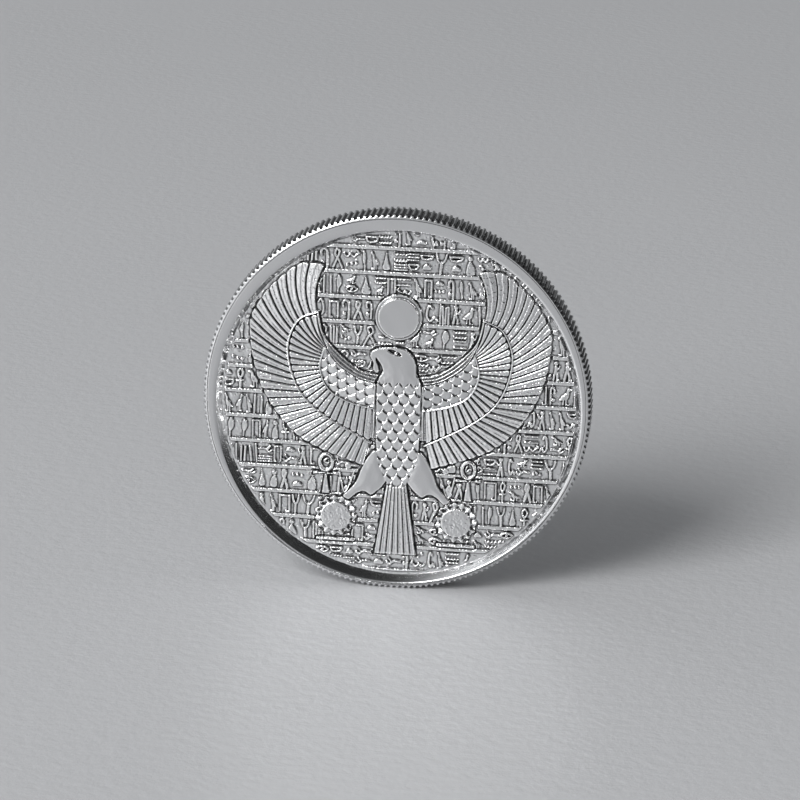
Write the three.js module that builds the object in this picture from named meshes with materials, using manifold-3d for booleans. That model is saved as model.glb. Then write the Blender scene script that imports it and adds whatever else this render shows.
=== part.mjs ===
// Large struck coin standing on its reeded edge. The obverse faces -Y and shows a falcon with
// raised wings over ruled registers of small marks. The reverse faces +Y and shows a lotus.
// Millimetres, +Z up, origin under the lowest reed.

import * as THREE from 'three';
import { mergeVertices } from 'three/addons/utils/BufferGeometryUtils.js';
import Module from 'manifold-3d';

const wasm = await Module();
wasm.setup();

// ---- Driving dimensions ----
const DIAMETER = 39;
const THICKNESS = 3.5;
const RELIEF_DEPTH = 0.8; // rim face down to the field
const GAP = 0.02; // between neighbouring regions of the coin
const SIDES = 72; // facets of a full circle on the coin's body

const REEDS = 204;
const REED_DEPTH = 0.24;
const REED_CREST = 0.45; // flat share of one reed's pitch
const EDGE_WALL = 0.6; // reeded band, crest to its inner face
const CHAMFER = 0.24; // rim face down to the reeds
const CHAMFER_RUN = 0.34;

const RIM_INNER_RADIUS = 18.6; // at the rim's face
const WALL_RUN = 0.6; // how far the sloping wall reaches in below that
const STRIKE_OFFSET = [0.23, -0.32]; // the obverse die sat this far off the blank's centre

// ---- Heights above the coin's middle plane ----
const FACE = THICKNESS / 2;
const FIELD = FACE - RELIEF_DEPTH;
const PLATE = 0.23; // thickness of a field plate
const SINK = 0.03; // how deep raised detail roots in what carries it
const RULE_HEIGHT = 0.16; // above the field
const MARK_HEIGHT = 0.2;
const UNDERSIDE = FIELD + GAP; // of every raised device
const RISE = { // above that underside
  innerFeathers: 0.26, outerFeathers: 0.2, vane: 0.16, arm: 0.4, cord: 0.52, coverts: 0.32, covertScale: 0.45,
  breast: 0.46, breastScale: 0.6, head: 0.62, eye: 0.45, tail: 0.4, flute: 0.54, dishRing: 0.6, dish: 0.42,
  shen: 0.46, shenBar: 0.4, shenKnot: 0.43, ankhLoop: 0.4, ankhArms: 0.36, ankhStem: 0.42, leg: 0.52,
  bead: 0.3, collar: 0.3, petal: 0.4, keel: 0.55,
};

// ---- Obverse registers ----
const REGISTER_TOP = 16.2;
const REGISTER_PITCH = 2.59;
const REGISTERS = 13;
const RULE_WIDTH = 0.42;
const RULE_CLEARANCE = 0.12;
const MARK_CLEARANCE = 0.8;
const MARK_SPACING = 2.2;
const SHORTEST_RUN = 0.8; // the shortest stretch of open field that holds a rule or a mark
const WALL_CLEARANCE = 0.2;
const FIELD_RADIUS = RIM_INNER_RADIUS - WALL_RUN - 0.05;

// ---- Falcon, sizes from the die's centre ----
const SUN = { x: -0.2, y: 9.15, ring: 2.4, disc: 1.98 };
const SHEN = { x: 6.1, y: -11.95, outer: 2.15, inner: 1.5, bar: 3.6, drop: 2.5 };
const ANKH = { x: 7.2, y: -6.35, loopX: 0.85, loopY: 1.05, band: 0.4, arm: 1.35, foot: -9.7 };
const TAIL = { top: -8.2, bottom: -15.75, topHalf: 1.05, bottomHalf: 2.2, flutes: 7 };
const SCALE = { pitchX: 1.07, rowPitch: 0.965, width: 0.86, height: 1.5 };
const OUTER_FEATHERS = 28;
const INNER_FEATHERS = 24;

// ---- Reverse ----
const LOTUS = { petals: 16, inner: 4.1, outer: 13.4, halfWidth: 1.25 };
const REVERSE_SUN = { ring: 3.6, disc: 3.0 };
const BEADS = { count: 48, radius: 17.1, size: 0.4 };

const silver = new THREE.MeshStandardMaterial({ color: 0xc4c5c6, roughness: 0.42, metalness: 1 });
const brightSilver = new THREE.MeshStandardMaterial({ color: 0xd6d7d8, roughness: 0.2, metalness: 1 });
const edgeSilver = new THREE.MeshStandardMaterial({ color: 0xa2a4a6, roughness: 0.35, metalness: 1 });

// ---------------------------------------------------------------- solids

function solid(geometry) {
  geometry.deleteAttribute('normal');
  geometry.deleteAttribute('uv');
  const merged = mergeVertices(geometry, 1e-4);
  return new wasm.Manifold(new wasm.Mesh({
    numProp: 3,
    vertProperties: merged.attributes.position.array,
    triVerts: merged.index.array,
  }));
}

function meshOf(name, manifold, material) {
  const { vertProperties, triVerts } = manifold.getMesh();
  const geometry = new THREE.BufferGeometry();
  geometry.setAttribute('position', new THREE.BufferAttribute(vertProperties, 3));
  geometry.setIndex(new THREE.BufferAttribute(triVerts, 1));
  geometry.computeVertexNormals();
  const mesh = new THREE.Mesh(geometry, material);
  mesh.name = name;
  return mesh;
}

function union(solids) {
  return solids.reduce((whole, piece) => whole.add(piece));
}

function point([x, y]) {
  return new THREE.Vector2(x, y);
}

// A flat-topped block with this outline, from height low to height high.
function block(outline, low, high, holes = []) {
  const shape = new THREE.Shape(outline.map(point));
  shape.holes = holes.map((hole) => new THREE.Path(hole.map(point)));
  const geometry = new THREE.ExtrudeGeometry(shape, { depth: high - low, bevelEnabled: false });
  return solid(geometry.translate(0, 0, low));
}

// A solid of revolution about the coin's axis; the profile lists [radius, height].
function turned(profile, sides = SIDES) {
  const geometry = new THREE.LatheGeometry(profile.map(point), sides);
  return solid(geometry.rotateX(Math.PI / 2));
}

function circle(radiusX, radiusY, sides, centre = [0, 0], phase = 0) {
  return Array.from({ length: sides }, (_, i) => {
    const angle = phase + (2 * Math.PI * i) / sides;
    return [centre[0] + radiusX * Math.cos(angle), centre[1] + radiusY * Math.sin(angle)];
  });
}

function rectangle(x, y, width, height, angle = 0) {
  const turn = new THREE.Vector2();
  return [[-1, -1], [1, -1], [1, 1], [-1, 1]].map(([sx, sy]) => {
    turn.set((sx * width) / 2, (sy * height) / 2).rotateAround(new THREE.Vector2(), angle);
    return [x + turn.x, y + turn.y];
  });
}

function mirrored(outline) {
  return outline.map(([x, y]) => [-x, y]).reverse();
}

function sided(side, outline) {
  return side < 0 ? mirrored(outline) : outline;
}

function spline(...points) {
  return new THREE.SplineCurve(points.map(point));
}

function along(curve, steps, from = 0, to = 1) {
  return Array.from({ length: steps + 1 }, (_, i) => {
    const place = curve.getPointAt(from + ((to - from) * i) / steps);
    return [place.x, place.y];
  });
}

// ---------------------------------------------------------------- body of the coin

const RADIUS = DIAMETER / 2;
const EDGE_INNER = RADIUS - EDGE_WALL;
const EDGE_HALF = FACE - CHAMFER;

function planchet() {
  const half = FIELD - PLATE - GAP;
  const radius = EDGE_INNER - GAP;
  return turned([[0, half], [radius, half], [radius, -half], [0, -half]].reverse());
}

// Flat crests with V grooves between them, and one crest centred at the bottom.
function reededEdge() {
  const pitch = (2 * Math.PI) / REEDS;
  const outline = [];
  for (let reed = 0; reed < REEDS; reed += 1) {
    const middle = -Math.PI / 2 + reed * pitch;
    const corners = [
      [RADIUS, middle - (pitch * REED_CREST) / 2],
      [RADIUS, middle + (pitch * REED_CREST) / 2],
      [RADIUS - REED_DEPTH, middle + pitch / 2],
    ];
    for (const [radius, angle] of corners) {
      const flat = radius === RADIUS ? radius / Math.cos((pitch * REED_CREST) / 2) : radius;
      outline.push([flat * Math.cos(angle), flat * Math.sin(angle)]);
    }
  }
  return block(outline, -EDGE_HALF, EDGE_HALF, [circle(EDGE_INNER, EDGE_INNER, SIDES)]);
}

// The rim stands on the blank, steps out over the reeds and has a sloping inner wall.
function rim(offset) {
  const low = FIELD - PLATE;
  const body = turned([
    [0, low],
    [EDGE_INNER - GAP, low],
    [EDGE_INNER - GAP, EDGE_HALF + GAP],
    [RADIUS - REED_DEPTH, EDGE_HALF + GAP],
    [RADIUS - CHAMFER_RUN, FACE],
    [0, FACE],
  ]);
  const foot = RIM_INNER_RADIUS - WALL_RUN;
  const well = turned([
    [0, low - 1],
    [foot, low - 1],
    [foot, FIELD],
    [RIM_INNER_RADIUS + WALL_RUN, FACE + RELIEF_DEPTH],
    [0, FACE + RELIEF_DEPTH],
  ]);
  return body.subtract(well.translate([...offset, 0]));
}

// ---------------------------------------------------------------- outlines of the falcon

const HEAD = [
  [1.85, 2.4], [1.8, 3.6], [1.74, 4.4], [1.42, 5.2], [0.8, 5.85], [0, 6.1], [-1.2, 6.12], [-2.2, 5.95],
  [-2.85, 5.6], [-3.02, 4.95], [-2.72, 4.35], [-2.74, 3.8], [-2.42, 3.25], [-1.98, 3.4], [-2.1, 4.3],
  [-1.8, 3.9], [-1.65, 3.0], [-1.62, 2.4],
];
const EYE = [[-1.0, 5.45], [-0.25, 5.3], [-1.25, 5.75]];
const BREAST_SIDE = [[2.12, 2.3], [2.15, -1.5], [2.12, -4.2], [1.95, -6], [1.2, -7.5], [0.5, -8.0]];
const LEG = [
  [2.35, -4.6], [2.8, -5.2], [3.15, -6.2], [3.6, -7.1], [4.2, -8.2], [4.9, -9.1], [5.4, -9.7], [4.7, -10.1],
  [4.0, -9.5], [3.3, -9.25], [2.6, -9.6], [2.0, -9.2], [1.4, -8.6], [1.35, -7.85], [2.1, -6.6],
];

// The right wing: the arm's two edges, the coverts' edge, the corded arc and the feather tips.
const ARM_UPPER = spline([2.0, 3.15], [4.0, 3.6], [6.1, 5.2], [7.6, 7.0], [8.15, 9.2]);
const ARM_LOWER = spline([2.45, 2.25], [4.2, 2.7], [6.2, 4.0], [7.35, 5.5]);
const COVERT_EDGE = spline([7.5, 5.8], [8.0, 3.6], [7.1, 1.4], [5.1, 0.2], [2.8, -0.4]);
const CORD_ARC = spline([8.3, 9.3], [10.3, 8.3], [11.3, 5.4], [10.3, 1.5], [7.8, -1.2], [3.0, -4.0]);
const WING_EDGE = spline(
  [7.3, 14.2], [10.0, 14.3], [12.4, 12.5], [14.3, 10.1], [15.2, 7.2], [13.9, 1.2], [9.9, -3.9], [3.5, -6.5],
);
const INNER_CROWDING = 1.55; // inner feathers crowd together at the wrist
const OUTER_CROWDING = 0.88;
const SICKLE_END = 0.45; // share of the wing, from its tip, whose feathers bow
const INNER_BOW = 0.12;
const OUTER_BOW = 0.2;

// The curve between two feathers at share s of the wing, from one arc out to the next.
function featherLine(s, inner) {
  const start = inner ? COVERT_EDGE.getPointAt(s ** INNER_CROWDING) : CORD_ARC.getPointAt(s);
  const end = inner ? CORD_ARC.getPointAt(s) : WING_EDGE.getPointAt(s ** OUTER_CROWDING);
  const across = end.clone().sub(start);
  const bow = (inner ? INNER_BOW : OUTER_BOW) * Math.max(0, 1 - s / SICKLE_END);
  const middle = start.clone().add(end).multiplyScalar(0.5);
  middle.x += across.y * bow;
  middle.y -= across.x * bow;
  return new THREE.QuadraticBezierCurve(start, middle, end);
}

function onFeather(s, t, inner) {
  const place = featherLine(s, inner).getPoint(t);
  return [place.x, place.y];
}

// A low fan with one raised vane for each feather.
function featherFan(count, inner, side) {
  const root = inner ? 0.07 : 0.04;
  const shoulder = inner ? 0.93 : 0.97;
  const tip = inner ? 0.95 : 1;
  const first = 0.012;
  const place = (i) => first + (1 - 2 * first) * (i / count);
  const inside = [];
  const outside = [];
  const vanes = [];
  for (let i = 0; i <= count; i += 1) {
    inside.push(onFeather(place(i), root, inner));
    outside.push(onFeather(place(i), shoulder, inner));
    if (i === count) break;
    outside.push(onFeather(place(i + 0.5), tip, inner));
    const [left, right] = [place(i + 0.14), place(i + 0.86)];
    vanes.push([
      onFeather(left, root + 0.02, inner),
      onFeather(left, 0.5, inner),
      onFeather(left, shoulder - 0.02, inner),
      onFeather(place(i + 0.5), tip - 0.02, inner),
      onFeather(right, shoulder - 0.02, inner),
      onFeather(right, 0.5, inner),
      onFeather(right, root + 0.02, inner),
    ]);
  }
  const fan = [...inside, ...outside.reverse()].reverse();
  const floor = UNDERSIDE + (inner ? RISE.innerFeathers : RISE.outerFeathers);
  const raised = vanes.map((vane) => block(sided(side, vane), floor - SINK, floor + RISE.vane));
  return union([block(sided(side, fan), UNDERSIDE, floor), ...raised]);
}

// Three smooth cords along the arm, side by side.
function leadingEdge(side) {
  const wrist = [onFeather(0, 0.93, true), onFeather(0, 0.5, true), onFeather(0, 0.1, true)];
  const shift = 0.1; // keeps the arm off the first inner feather
  const inner = wrist.map(([x, y]) => [x - shift, y]);
  const outline = [...along(ARM_UPPER, 8), ...inner, ...along(ARM_LOWER, 6).reverse()].reverse();
  const cords = [0.12, 0.44, 0.76].map((share) => {
    const strip = [];
    for (const edge of [share, share + 0.16]) {
      const row = [];
      for (let i = 0; i <= 5; i += 1) {
        const upper = ARM_UPPER.getPointAt(0.03 + 0.12 * i);
        const lower = ARM_LOWER.getPointAt(0.03 + 0.188 * i);
        upper.lerp(lower, edge);
        row.push([upper.x, upper.y]);
      }
      strip.push(...(edge === share ? row : row.reverse()));
    }
    return block(sided(side, strip.reverse()), UNDERSIDE + RISE.arm - SINK, UNDERSIDE + RISE.cord);
  });
  return union([block(sided(side, outline), UNDERSIDE, UNDERSIDE + RISE.arm), ...cords]);
}

function insideOutline([x, y], outline) {
  let inside = false;
  outline.forEach(([ax, ay], i) => {
    const [bx, by] = outline[(i + 1) % outline.length];
    if ((ay > y) !== (by > y) && x < ax + ((y - ay) * (bx - ax)) / (by - ay)) inside = !inside;
  });
  return inside;
}

// Diamond scales in staggered rows, wherever a whole scale fits inside the outline.
function scales(outline, low, high) {
  const xs = outline.map(([x]) => x);
  const ys = outline.map(([, y]) => y);
  const rowStep = SCALE.rowPitch;
  const found = [];
  for (let row = Math.floor(Math.min(...ys) / rowStep); row * rowStep < Math.max(...ys); row += 1) {
    const stagger = (Math.abs(row) % 2) * 0.5;
    for (let column = Math.floor(Math.min(...xs)); column < Math.max(...xs); column += 1) {
      const centre = [(column + stagger) * SCALE.pitchX, row * rowStep];
      const diamond = circle(SCALE.width / 2, SCALE.height / 2, 4, centre);
      if (diamond.every((corner) => insideOutline(corner, outline))) {
        found.push(block(diamond, low, high));
      }
    }
  }
  return found;
}

function coverts(side) {
  const shift = 0.08;
  const upper = along(ARM_LOWER, 6, 0.02, 0.97).map(([x, y]) => [x, y - shift]);
  const lower = along(COVERT_EDGE, 10, 0.06, 0.97).map(([x, y]) => [x - shift, y + shift]);
  const outline = sided(side, [...upper, ...lower].reverse());
  const plate = block(outline, UNDERSIDE, UNDERSIDE + RISE.coverts);
  return union([plate, ...scales(outline, UNDERSIDE + RISE.coverts - SINK, UNDERSIDE + RISE.covertScale)]);
}

function breast() {
  const outline = [...mirrored(BREAST_SIDE), ...BREAST_SIDE].reverse();
  const plate = block(outline, UNDERSIDE, UNDERSIDE + RISE.breast);
  return union([plate, ...scales(outline, UNDERSIDE + RISE.breast - SINK, UNDERSIDE + RISE.breastScale)]);
}

function head() {
  const eye = block(EYE, UNDERSIDE + RISE.eye, FACE);
  return block(HEAD, UNDERSIDE, UNDERSIDE + RISE.head).subtract(eye);
}

function tail() {
  const { top, bottom, topHalf, bottomHalf, flutes } = TAIL;
  const outline = [[-topHalf, top], [-bottomHalf, bottom], [bottomHalf, bottom], [topHalf, top]];
  const ribs = Array.from({ length: flutes }, (_, i) => {
    const left = -1 + (2 * (i + 0.18)) / flutes;
    const right = -1 + (2 * (i + 0.82)) / flutes;
    const high = top - 0.1;
    const low = bottom + 0.1;
    const rib = [
      [left * topHalf, high], [left * bottomHalf, low], [right * bottomHalf, low], [right * topHalf, high],
    ];
    return block(rib, UNDERSIDE + RISE.tail - SINK, UNDERSIDE + RISE.flute);
  });
  return union([block(outline, UNDERSIDE, UNDERSIDE + RISE.tail), ...ribs]);
}

// A disc with a raised ring round a shallow dish.
function dish(ring, disc, sides, centre) {
  const body = block(circle(ring, ring, sides, centre), UNDERSIDE, UNDERSIDE + RISE.dishRing);
  return body.subtract(block(circle(disc, disc, sides, centre), UNDERSIDE + RISE.dish, FACE));
}

// A rope ring tied to a short straight bar under it.
function shenRing(side) {
  const centre = [side * SHEN.x, SHEN.y];
  const hole = circle(SHEN.inner, SHEN.inner, 24, centre).reverse();
  const ring = block(circle(SHEN.outer, SHEN.outer, 24, centre), UNDERSIDE, UNDERSIDE + RISE.shen, [hole]);
  const bar = rectangle(centre[0], centre[1] - SHEN.drop, SHEN.bar, 0.36);
  const knot = rectangle(centre[0], centre[1] - (SHEN.outer + SHEN.drop) / 2, 1.1, 0.6);
  return union([
    ring,
    block(bar, UNDERSIDE, UNDERSIDE + RISE.shenBar),
    block(knot, UNDERSIDE, UNDERSIDE + RISE.shenKnot),
  ]);
}

function ankh(side) {
  const x = side * ANKH.x;
  const centre = [x, ANKH.y];
  const hole = circle(ANKH.loopX - ANKH.band, ANKH.loopY - ANKH.band, 16, centre).reverse();
  const loop = circle(ANKH.loopX, ANKH.loopY, 16, centre);
  const cross = ANKH.y - ANKH.loopY - 0.1;
  const stem = [[x - 0.4, ANKH.foot], [x + 0.4, ANKH.foot], [x + 0.2, cross], [x - 0.2, cross]];
  return union([
    block(loop, UNDERSIDE, UNDERSIDE + RISE.ankhLoop, [hole]),
    block(rectangle(x, cross, 2 * ANKH.arm, 0.38), UNDERSIDE, UNDERSIDE + RISE.ankhArms),
    block(stem, UNDERSIDE, UNDERSIDE + RISE.ankhStem),
  ]);
}

function leg(side) {
  return block(sided(side, [...LEG].reverse()), UNDERSIDE, UNDERSIDE + RISE.leg);
}

// ---------------------------------------------------------------- obverse field

function wingOutline() {
  const tips = along(WING_EDGE, 24);
  return [...along(ARM_UPPER, 8), [7.9, 11.5], ...tips, [2.6, -4.2], [2.2, -0.5]];
}

function devices() {
  const breastOutline = [...BREAST_SIDE, ...mirrored(BREAST_SIDE)];
  const tailOutline = [
    [TAIL.topHalf, TAIL.top], [TAIL.bottomHalf, TAIL.bottom],
    [-TAIL.bottomHalf, TAIL.bottom], [-TAIL.topHalf, TAIL.top],
  ];
  const outlines = [HEAD, breastOutline, tailOutline, circle(SUN.ring, SUN.ring, 24, [SUN.x, SUN.y])];
  for (const side of [-1, 1]) {
    outlines.push(sided(side, wingOutline()), sided(side, LEG));
    outlines.push(circle(SHEN.outer, SHEN.outer, 24, [side * SHEN.x, SHEN.y]));
    outlines.push(rectangle(side * SHEN.x, SHEN.y - SHEN.drop, SHEN.bar, 0.8));
    outlines.push(circle(ANKH.arm, 1.3, 16, [side * ANKH.x, ANKH.y - 0.3]));
    outlines.push(rectangle(side * ANKH.x, (ANKH.y + ANKH.foot) / 2 - 0.6, 1.9, 2.6));
  }
  return outlines;
}

const DEVICES = devices();

// True where a spot of this size lies on open field, clear of every device and of the rim.
function isOpen(x, y, margin) {
  if (Math.hypot(x, y) > FIELD_RADIUS - WALL_CLEARANCE - margin) return false;
  const spots = [[x, y], ...circle(margin, margin, 8, [x, y])];
  return !spots.some((spot) => DEVICES.some((outline) => insideOutline(spot, outline)));
}

// The open stretches of one horizontal line across the field.
function openRuns(y, margin) {
  const step = 0.1;
  const runs = [];
  let start = null;
  for (let x = -FIELD_RADIUS; x <= FIELD_RADIUS; x += step) {
    const open = isOpen(x, y, margin);
    if (open && start === null) start = x;
    if (!open && start !== null) {
      if (x - step - start > SHORTEST_RUN) runs.push([start, x - step]);
      start = null;
    }
  }
  return runs;
}

function zigzag(x, y, width, height) {
  const thick = 0.2;
  const upper = [];
  const lower = [];
  for (let i = 0; i <= 4; i += 1) {
    const px = x - width / 2 + (width * i) / 4;
    const py = y + (i % 2 ? height / 2 : -height / 2);
    upper.push([px, py + thick / 2]);
    lower.push([px, py - thick / 2]);
  }
  return [...lower, ...upper.reverse()];
}

// Small picture-like marks with no meaning; each returns outlines centred on x, y.
const MARKS = [
  (x, y) => [-0.3, 0.3].map((dx) => rectangle(x + dx, y, 0.2, 1.4)),
  (x, y) => [zigzag(x, y, 1.4, 0.5)],
  (x, y) => [circle(0.5, 0.36, 6, [x, y + 0.35]), rectangle(x, y - 0.4, 1.1, 0.2)],
  (x, y) => [rectangle(x, y, 0.2, 1.5, 0.5)],
  (x, y) => [circle(0.5, 0.5, 3, [x, y - 0.1], Math.PI / 2)],
];

function obverseField() {
  const low = FIELD - PLATE;
  const pieces = [];
  let kind = 0;
  for (let row = 0; row <= REGISTERS; row += 1) {
    const ruleY = REGISTER_TOP - row * REGISTER_PITCH;
    for (const [from, to] of openRuns(ruleY, RULE_CLEARANCE)) {
      const rule = rectangle((from + to) / 2, ruleY, to - from, RULE_WIDTH);
      pieces.push(block(rule, FIELD - SINK, FIELD + RULE_HEIGHT));
    }
    const middle = ruleY + REGISTER_PITCH / 2;
    for (const [from, to] of openRuns(middle, MARK_CLEARANCE)) {
      const count = Math.floor((to - from) / MARK_SPACING) + 1;
      const start = (from + to - (count - 1) * MARK_SPACING) / 2;
      for (let i = 0; i < count; i += 1) {
        const mark = MARKS[kind % MARKS.length](start + i * MARK_SPACING, middle);
        pieces.push(...mark.map((outline) => block(outline, FIELD - SINK, FIELD + MARK_HEIGHT)));
        kind += 1;
      }
    }
  }
  return union([block(circle(FIELD_RADIUS, FIELD_RADIUS, SIDES), low, FIELD), ...pieces]);
}

// ---------------------------------------------------------------- reverse

function reverseField() {
  const pieces = [block(circle(FIELD_RADIUS, FIELD_RADIUS, SIDES), FIELD - PLATE, FIELD)];
  for (let i = 0; i < BEADS.count; i += 1) {
    const angle = (2 * Math.PI * i) / BEADS.count;
    const centre = [BEADS.radius * Math.cos(angle), BEADS.radius * Math.sin(angle)];
    pieces.push(block(circle(BEADS.size, BEADS.size, 4, centre, angle), FIELD - SINK, FIELD + RISE.bead));
  }
  return union(pieces);
}

// Long pointed petals around a ring, each with a raised keel.
function reverseLotus() {
  const { petals, inner, outer, halfWidth } = LOTUS;
  const hole = circle(inner, inner, 48).reverse();
  const pieces = [block(circle(inner + 1.2, inner + 1.2, 48), UNDERSIDE, UNDERSIDE + RISE.collar, [hole])];
  const half = [[inner + 0.9, 0.55], [inner + 4, halfWidth], [outer - 3, halfWidth * 0.95], [outer, 0]];
  const keel = [[inner + 1.4, 0.14], [outer - 1.2, 0.14], [outer - 1.2, -0.14], [inner + 1.4, -0.14]];
  for (let i = 0; i < petals; i += 1) {
    const angle = Math.PI / 2 + (2 * Math.PI * i) / petals;
    const turn = ([x, y]) => {
      const place = point([x, y]).rotateAround(new THREE.Vector2(), angle);
      return [place.x, place.y];
    };
    const petal = [...half.slice(0, 3).map(([x, y]) => [x, -y]), half[3], ...half.slice(0, 3).reverse()];
    const raisedKeel = [...keel].reverse().map(turn);
    pieces.push(block(petal.map(turn), UNDERSIDE, UNDERSIDE + RISE.petal));
    pieces.push(block(raisedKeel, UNDERSIDE + RISE.petal - SINK, UNDERSIDE + RISE.keel));
  }
  return union(pieces);
}

// ---------------------------------------------------------------- assembly

// Local +Z is out of each face; the reverse is upright when the coin is turned about +Z.
const obverse = new THREE.Group();
obverse.rotation.x = Math.PI / 2;
const reverse = new THREE.Group();
reverse.rotation.set(Math.PI / 2, Math.PI, 0);
const strike = new THREE.Group();
strike.position.set(...STRIKE_OFFSET, 0);

obverse.add(
  meshOf('planchet', planchet(), silver),
  meshOf('reeded_edge', reededEdge(), edgeSilver),
  meshOf('obverse_rim', rim(STRIKE_OFFSET), brightSilver),
  strike,
);
strike.add(
  meshOf('obverse_field', obverseField(), silver),
  meshOf('sun_disk', dish(SUN.ring, SUN.disc, 36, [SUN.x, SUN.y]), brightSilver),
  meshOf('falcon_head', head(), brightSilver),
  meshOf('falcon_breast', breast(), silver),
  meshOf('falcon_tail', tail(), silver),
);
for (const [name, side] of [['left', -1], ['right', 1]]) {
  strike.add(
    meshOf(`${name}_wing_leading_edge`, leadingEdge(side), silver),
    meshOf(`${name}_wing_coverts`, coverts(side), silver),
    meshOf(`${name}_wing_inner_feathers`, featherFan(INNER_FEATHERS, true, side), silver),
    meshOf(`${name}_wing_outer_feathers`, featherFan(OUTER_FEATHERS, false, side), silver),
    meshOf(`${name}_leg`, leg(side), brightSilver),
    meshOf(`${name}_shen_ring`, shenRing(side), silver),
    meshOf(`${name}_ankh`, ankh(side), silver),
  );
}
reverse.add(
  meshOf('reverse_rim', rim([0, 0]), brightSilver),
  meshOf('reverse_field', reverseField(), silver),
  meshOf('reverse_lotus', reverseLotus(), silver),
  meshOf('reverse_sun_disk', dish(REVERSE_SUN.ring, REVERSE_SUN.disc, 40), brightSilver),
);

const coin = new THREE.Group();
coin.position.z = RADIUS;
coin.add(obverse, reverse);

export default coin;
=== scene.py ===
# A large struck silver coin standing on its reeded edge, in a plain pale studio.
# Each face is one continuous relief, worked out as heights over a fine grid and then cut into
# the coin's named regions. Relief sizes are in millimetres from the die's centre, x to the
# viewer's right, y up and height out of the face.

import math

import bpy
import numpy as np
from mathutils import Matrix, Vector
from mathutils.geometry import delaunay_2d_cdt


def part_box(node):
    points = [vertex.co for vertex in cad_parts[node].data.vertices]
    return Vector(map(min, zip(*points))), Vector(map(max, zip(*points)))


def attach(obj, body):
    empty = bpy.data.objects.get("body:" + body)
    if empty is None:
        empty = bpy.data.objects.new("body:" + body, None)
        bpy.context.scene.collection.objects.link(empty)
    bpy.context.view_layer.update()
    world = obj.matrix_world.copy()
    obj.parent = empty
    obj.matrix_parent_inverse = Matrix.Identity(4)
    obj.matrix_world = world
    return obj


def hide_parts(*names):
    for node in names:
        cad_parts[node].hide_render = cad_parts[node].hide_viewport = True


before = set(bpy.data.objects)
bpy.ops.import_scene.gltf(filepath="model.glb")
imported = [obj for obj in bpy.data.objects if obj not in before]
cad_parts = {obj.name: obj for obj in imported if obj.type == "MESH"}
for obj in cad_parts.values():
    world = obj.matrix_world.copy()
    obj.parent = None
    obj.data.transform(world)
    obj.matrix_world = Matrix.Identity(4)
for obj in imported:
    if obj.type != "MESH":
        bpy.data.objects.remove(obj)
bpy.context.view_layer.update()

MM = 0.001

# ---- Sizes read from the frame ----
edge_low, edge_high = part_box("reeded_edge")
rim_low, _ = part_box("obverse_rim")
field_low, field_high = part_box("obverse_field")
back_low, back_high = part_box("reverse_field")

RADIUS = (edge_high.x - edge_low.x) / 2 / MM
CENTRE = (edge_high + edge_low) / 2 / MM
FACE = -rim_low.y / MM
PLATE_BACK = -field_high.y / MM  # height of a field plate's hidden back above the middle plane
OBVERSE_DIE = (field_low + field_high) / 2 / MM
REVERSE_DIE = (back_low + back_high) / 2 / MM

# ---- Driving sizes of the coin's body ----
RELIEF_DEPTH = 0.8
FIELD = FACE - RELIEF_DEPTH
WALL_FOOT = 17.9
WALL_LOOPS = 7
WALL_TOP = {"inside": 0.06, "drop": 0.07}  # the wall's upper end, off the rim's inner edge and face
FIELD_EDGE = WALL_FOOT + 0.1  # the field's plate runs on a little under the rim's wall
RIM_INNER_RADIUS = 18.45
RIM_SHIFT = (-0.1, -0.16)  # the obverse rim's inner edge, off the die's centre
# The rounding of the rim's inner edge: distance outside the edge, and drop below the face.
RIM_ROUNDING = ((-0.04, 0.045), (0.02, 0.022), (0.09, 0.009), (0.17, 0.002), (0.26, 0))
# The fine line between the rim's flat and its chamfer, painted with shade along its groove.
BURR = {"radius": 19.05, "width": 0.06, "depth": 0.012, "painted_shade": 0.85}
REEDS = 204
REED_DEPTH = 0.24
REED_CREST = 0.32  # flat share of one reed's pitch
REED_WALL = 0.4  # share of half a pitch that a reed's side takes
CHAMFER = 0.22
CHAMFER_RUN = 0.4
CHAMFER_ROUNDNESS = 2
CHAMFER_DROPS = (0, 0.02, 0.045, 0.07, 0.1, 0.135, 0.175, CHAMFER)
EDGE_WALL = 0.6
EDGE_LEVELS = 9

# ---- Grids and texture squares ----
OBVERSE_STEP = 0.04
REVERSE_STEP = 0.065
RING_BANDS = 8
UV_SPAN = 0.94
UV_MARGIN = 0.03
UV_STRIP = 0.005  # height of the strips that hold the hidden walls and back
UV_TOP_AT, UV_WALLS_AT, UV_BACK_AT = 0.05, 0.012, 0.028

# ---- Painted shade in the recesses: a value of 0.5 is level, more paints the silver darker ----
CAVITY_REACH = 0.12
CAVITY_DEPTH = 0.18
# painted shade on the rim's inner wall, strongest at its foot and fading to the rim's level value at its top
WALL_PAINTED_SHADE = 0.7
RIM_PAINTED_SHADE = 0.5
# painted shade in the grooves between the reeds
REED_PAINTED_SHADE = 0.9

# ---- Silver ----
# painted shade: the colour in the deepest recesses, as a share of the silver's tone
PAINTED_SHADE_TONE = 0.08
# colour of convex crests, lighter than the rest of the silver
CREST_TONE = 0.95
RECESS_ROUGHNESS = 0.08
RECESS_START, RECESS_FULL = 0.54, 0.96
CREST_START, CREST_FULL = 0.46, 0.16
SILVERS = {
    "frosted_silver": {"tone": 0.73, "rough": 0.17, "grain": 0.5, "scratch": 0.3},
    "bright_silver": {"tone": 0.74, "rough": 0.17, "grain": 0.4, "scratch": 0.4},
    "edge_silver": {"tone": 0.76, "rough": 0.18, "grain": 0.4, "scratch": 0.4},
}
BRIGHT_NODES = ("sun_disk", "falcon_head", "left_leg", "right_leg", "reverse_sun_disk")

# ---- Unevenness of the dies: a random seed and an amount for each ----
OBVERSE_HAND = (5, 0.0035)
OBVERSE_ROUGHNESS = (6, 0.008)
REVERSE_HAND = (8, 0.003)
MARK_SEED = 11

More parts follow.
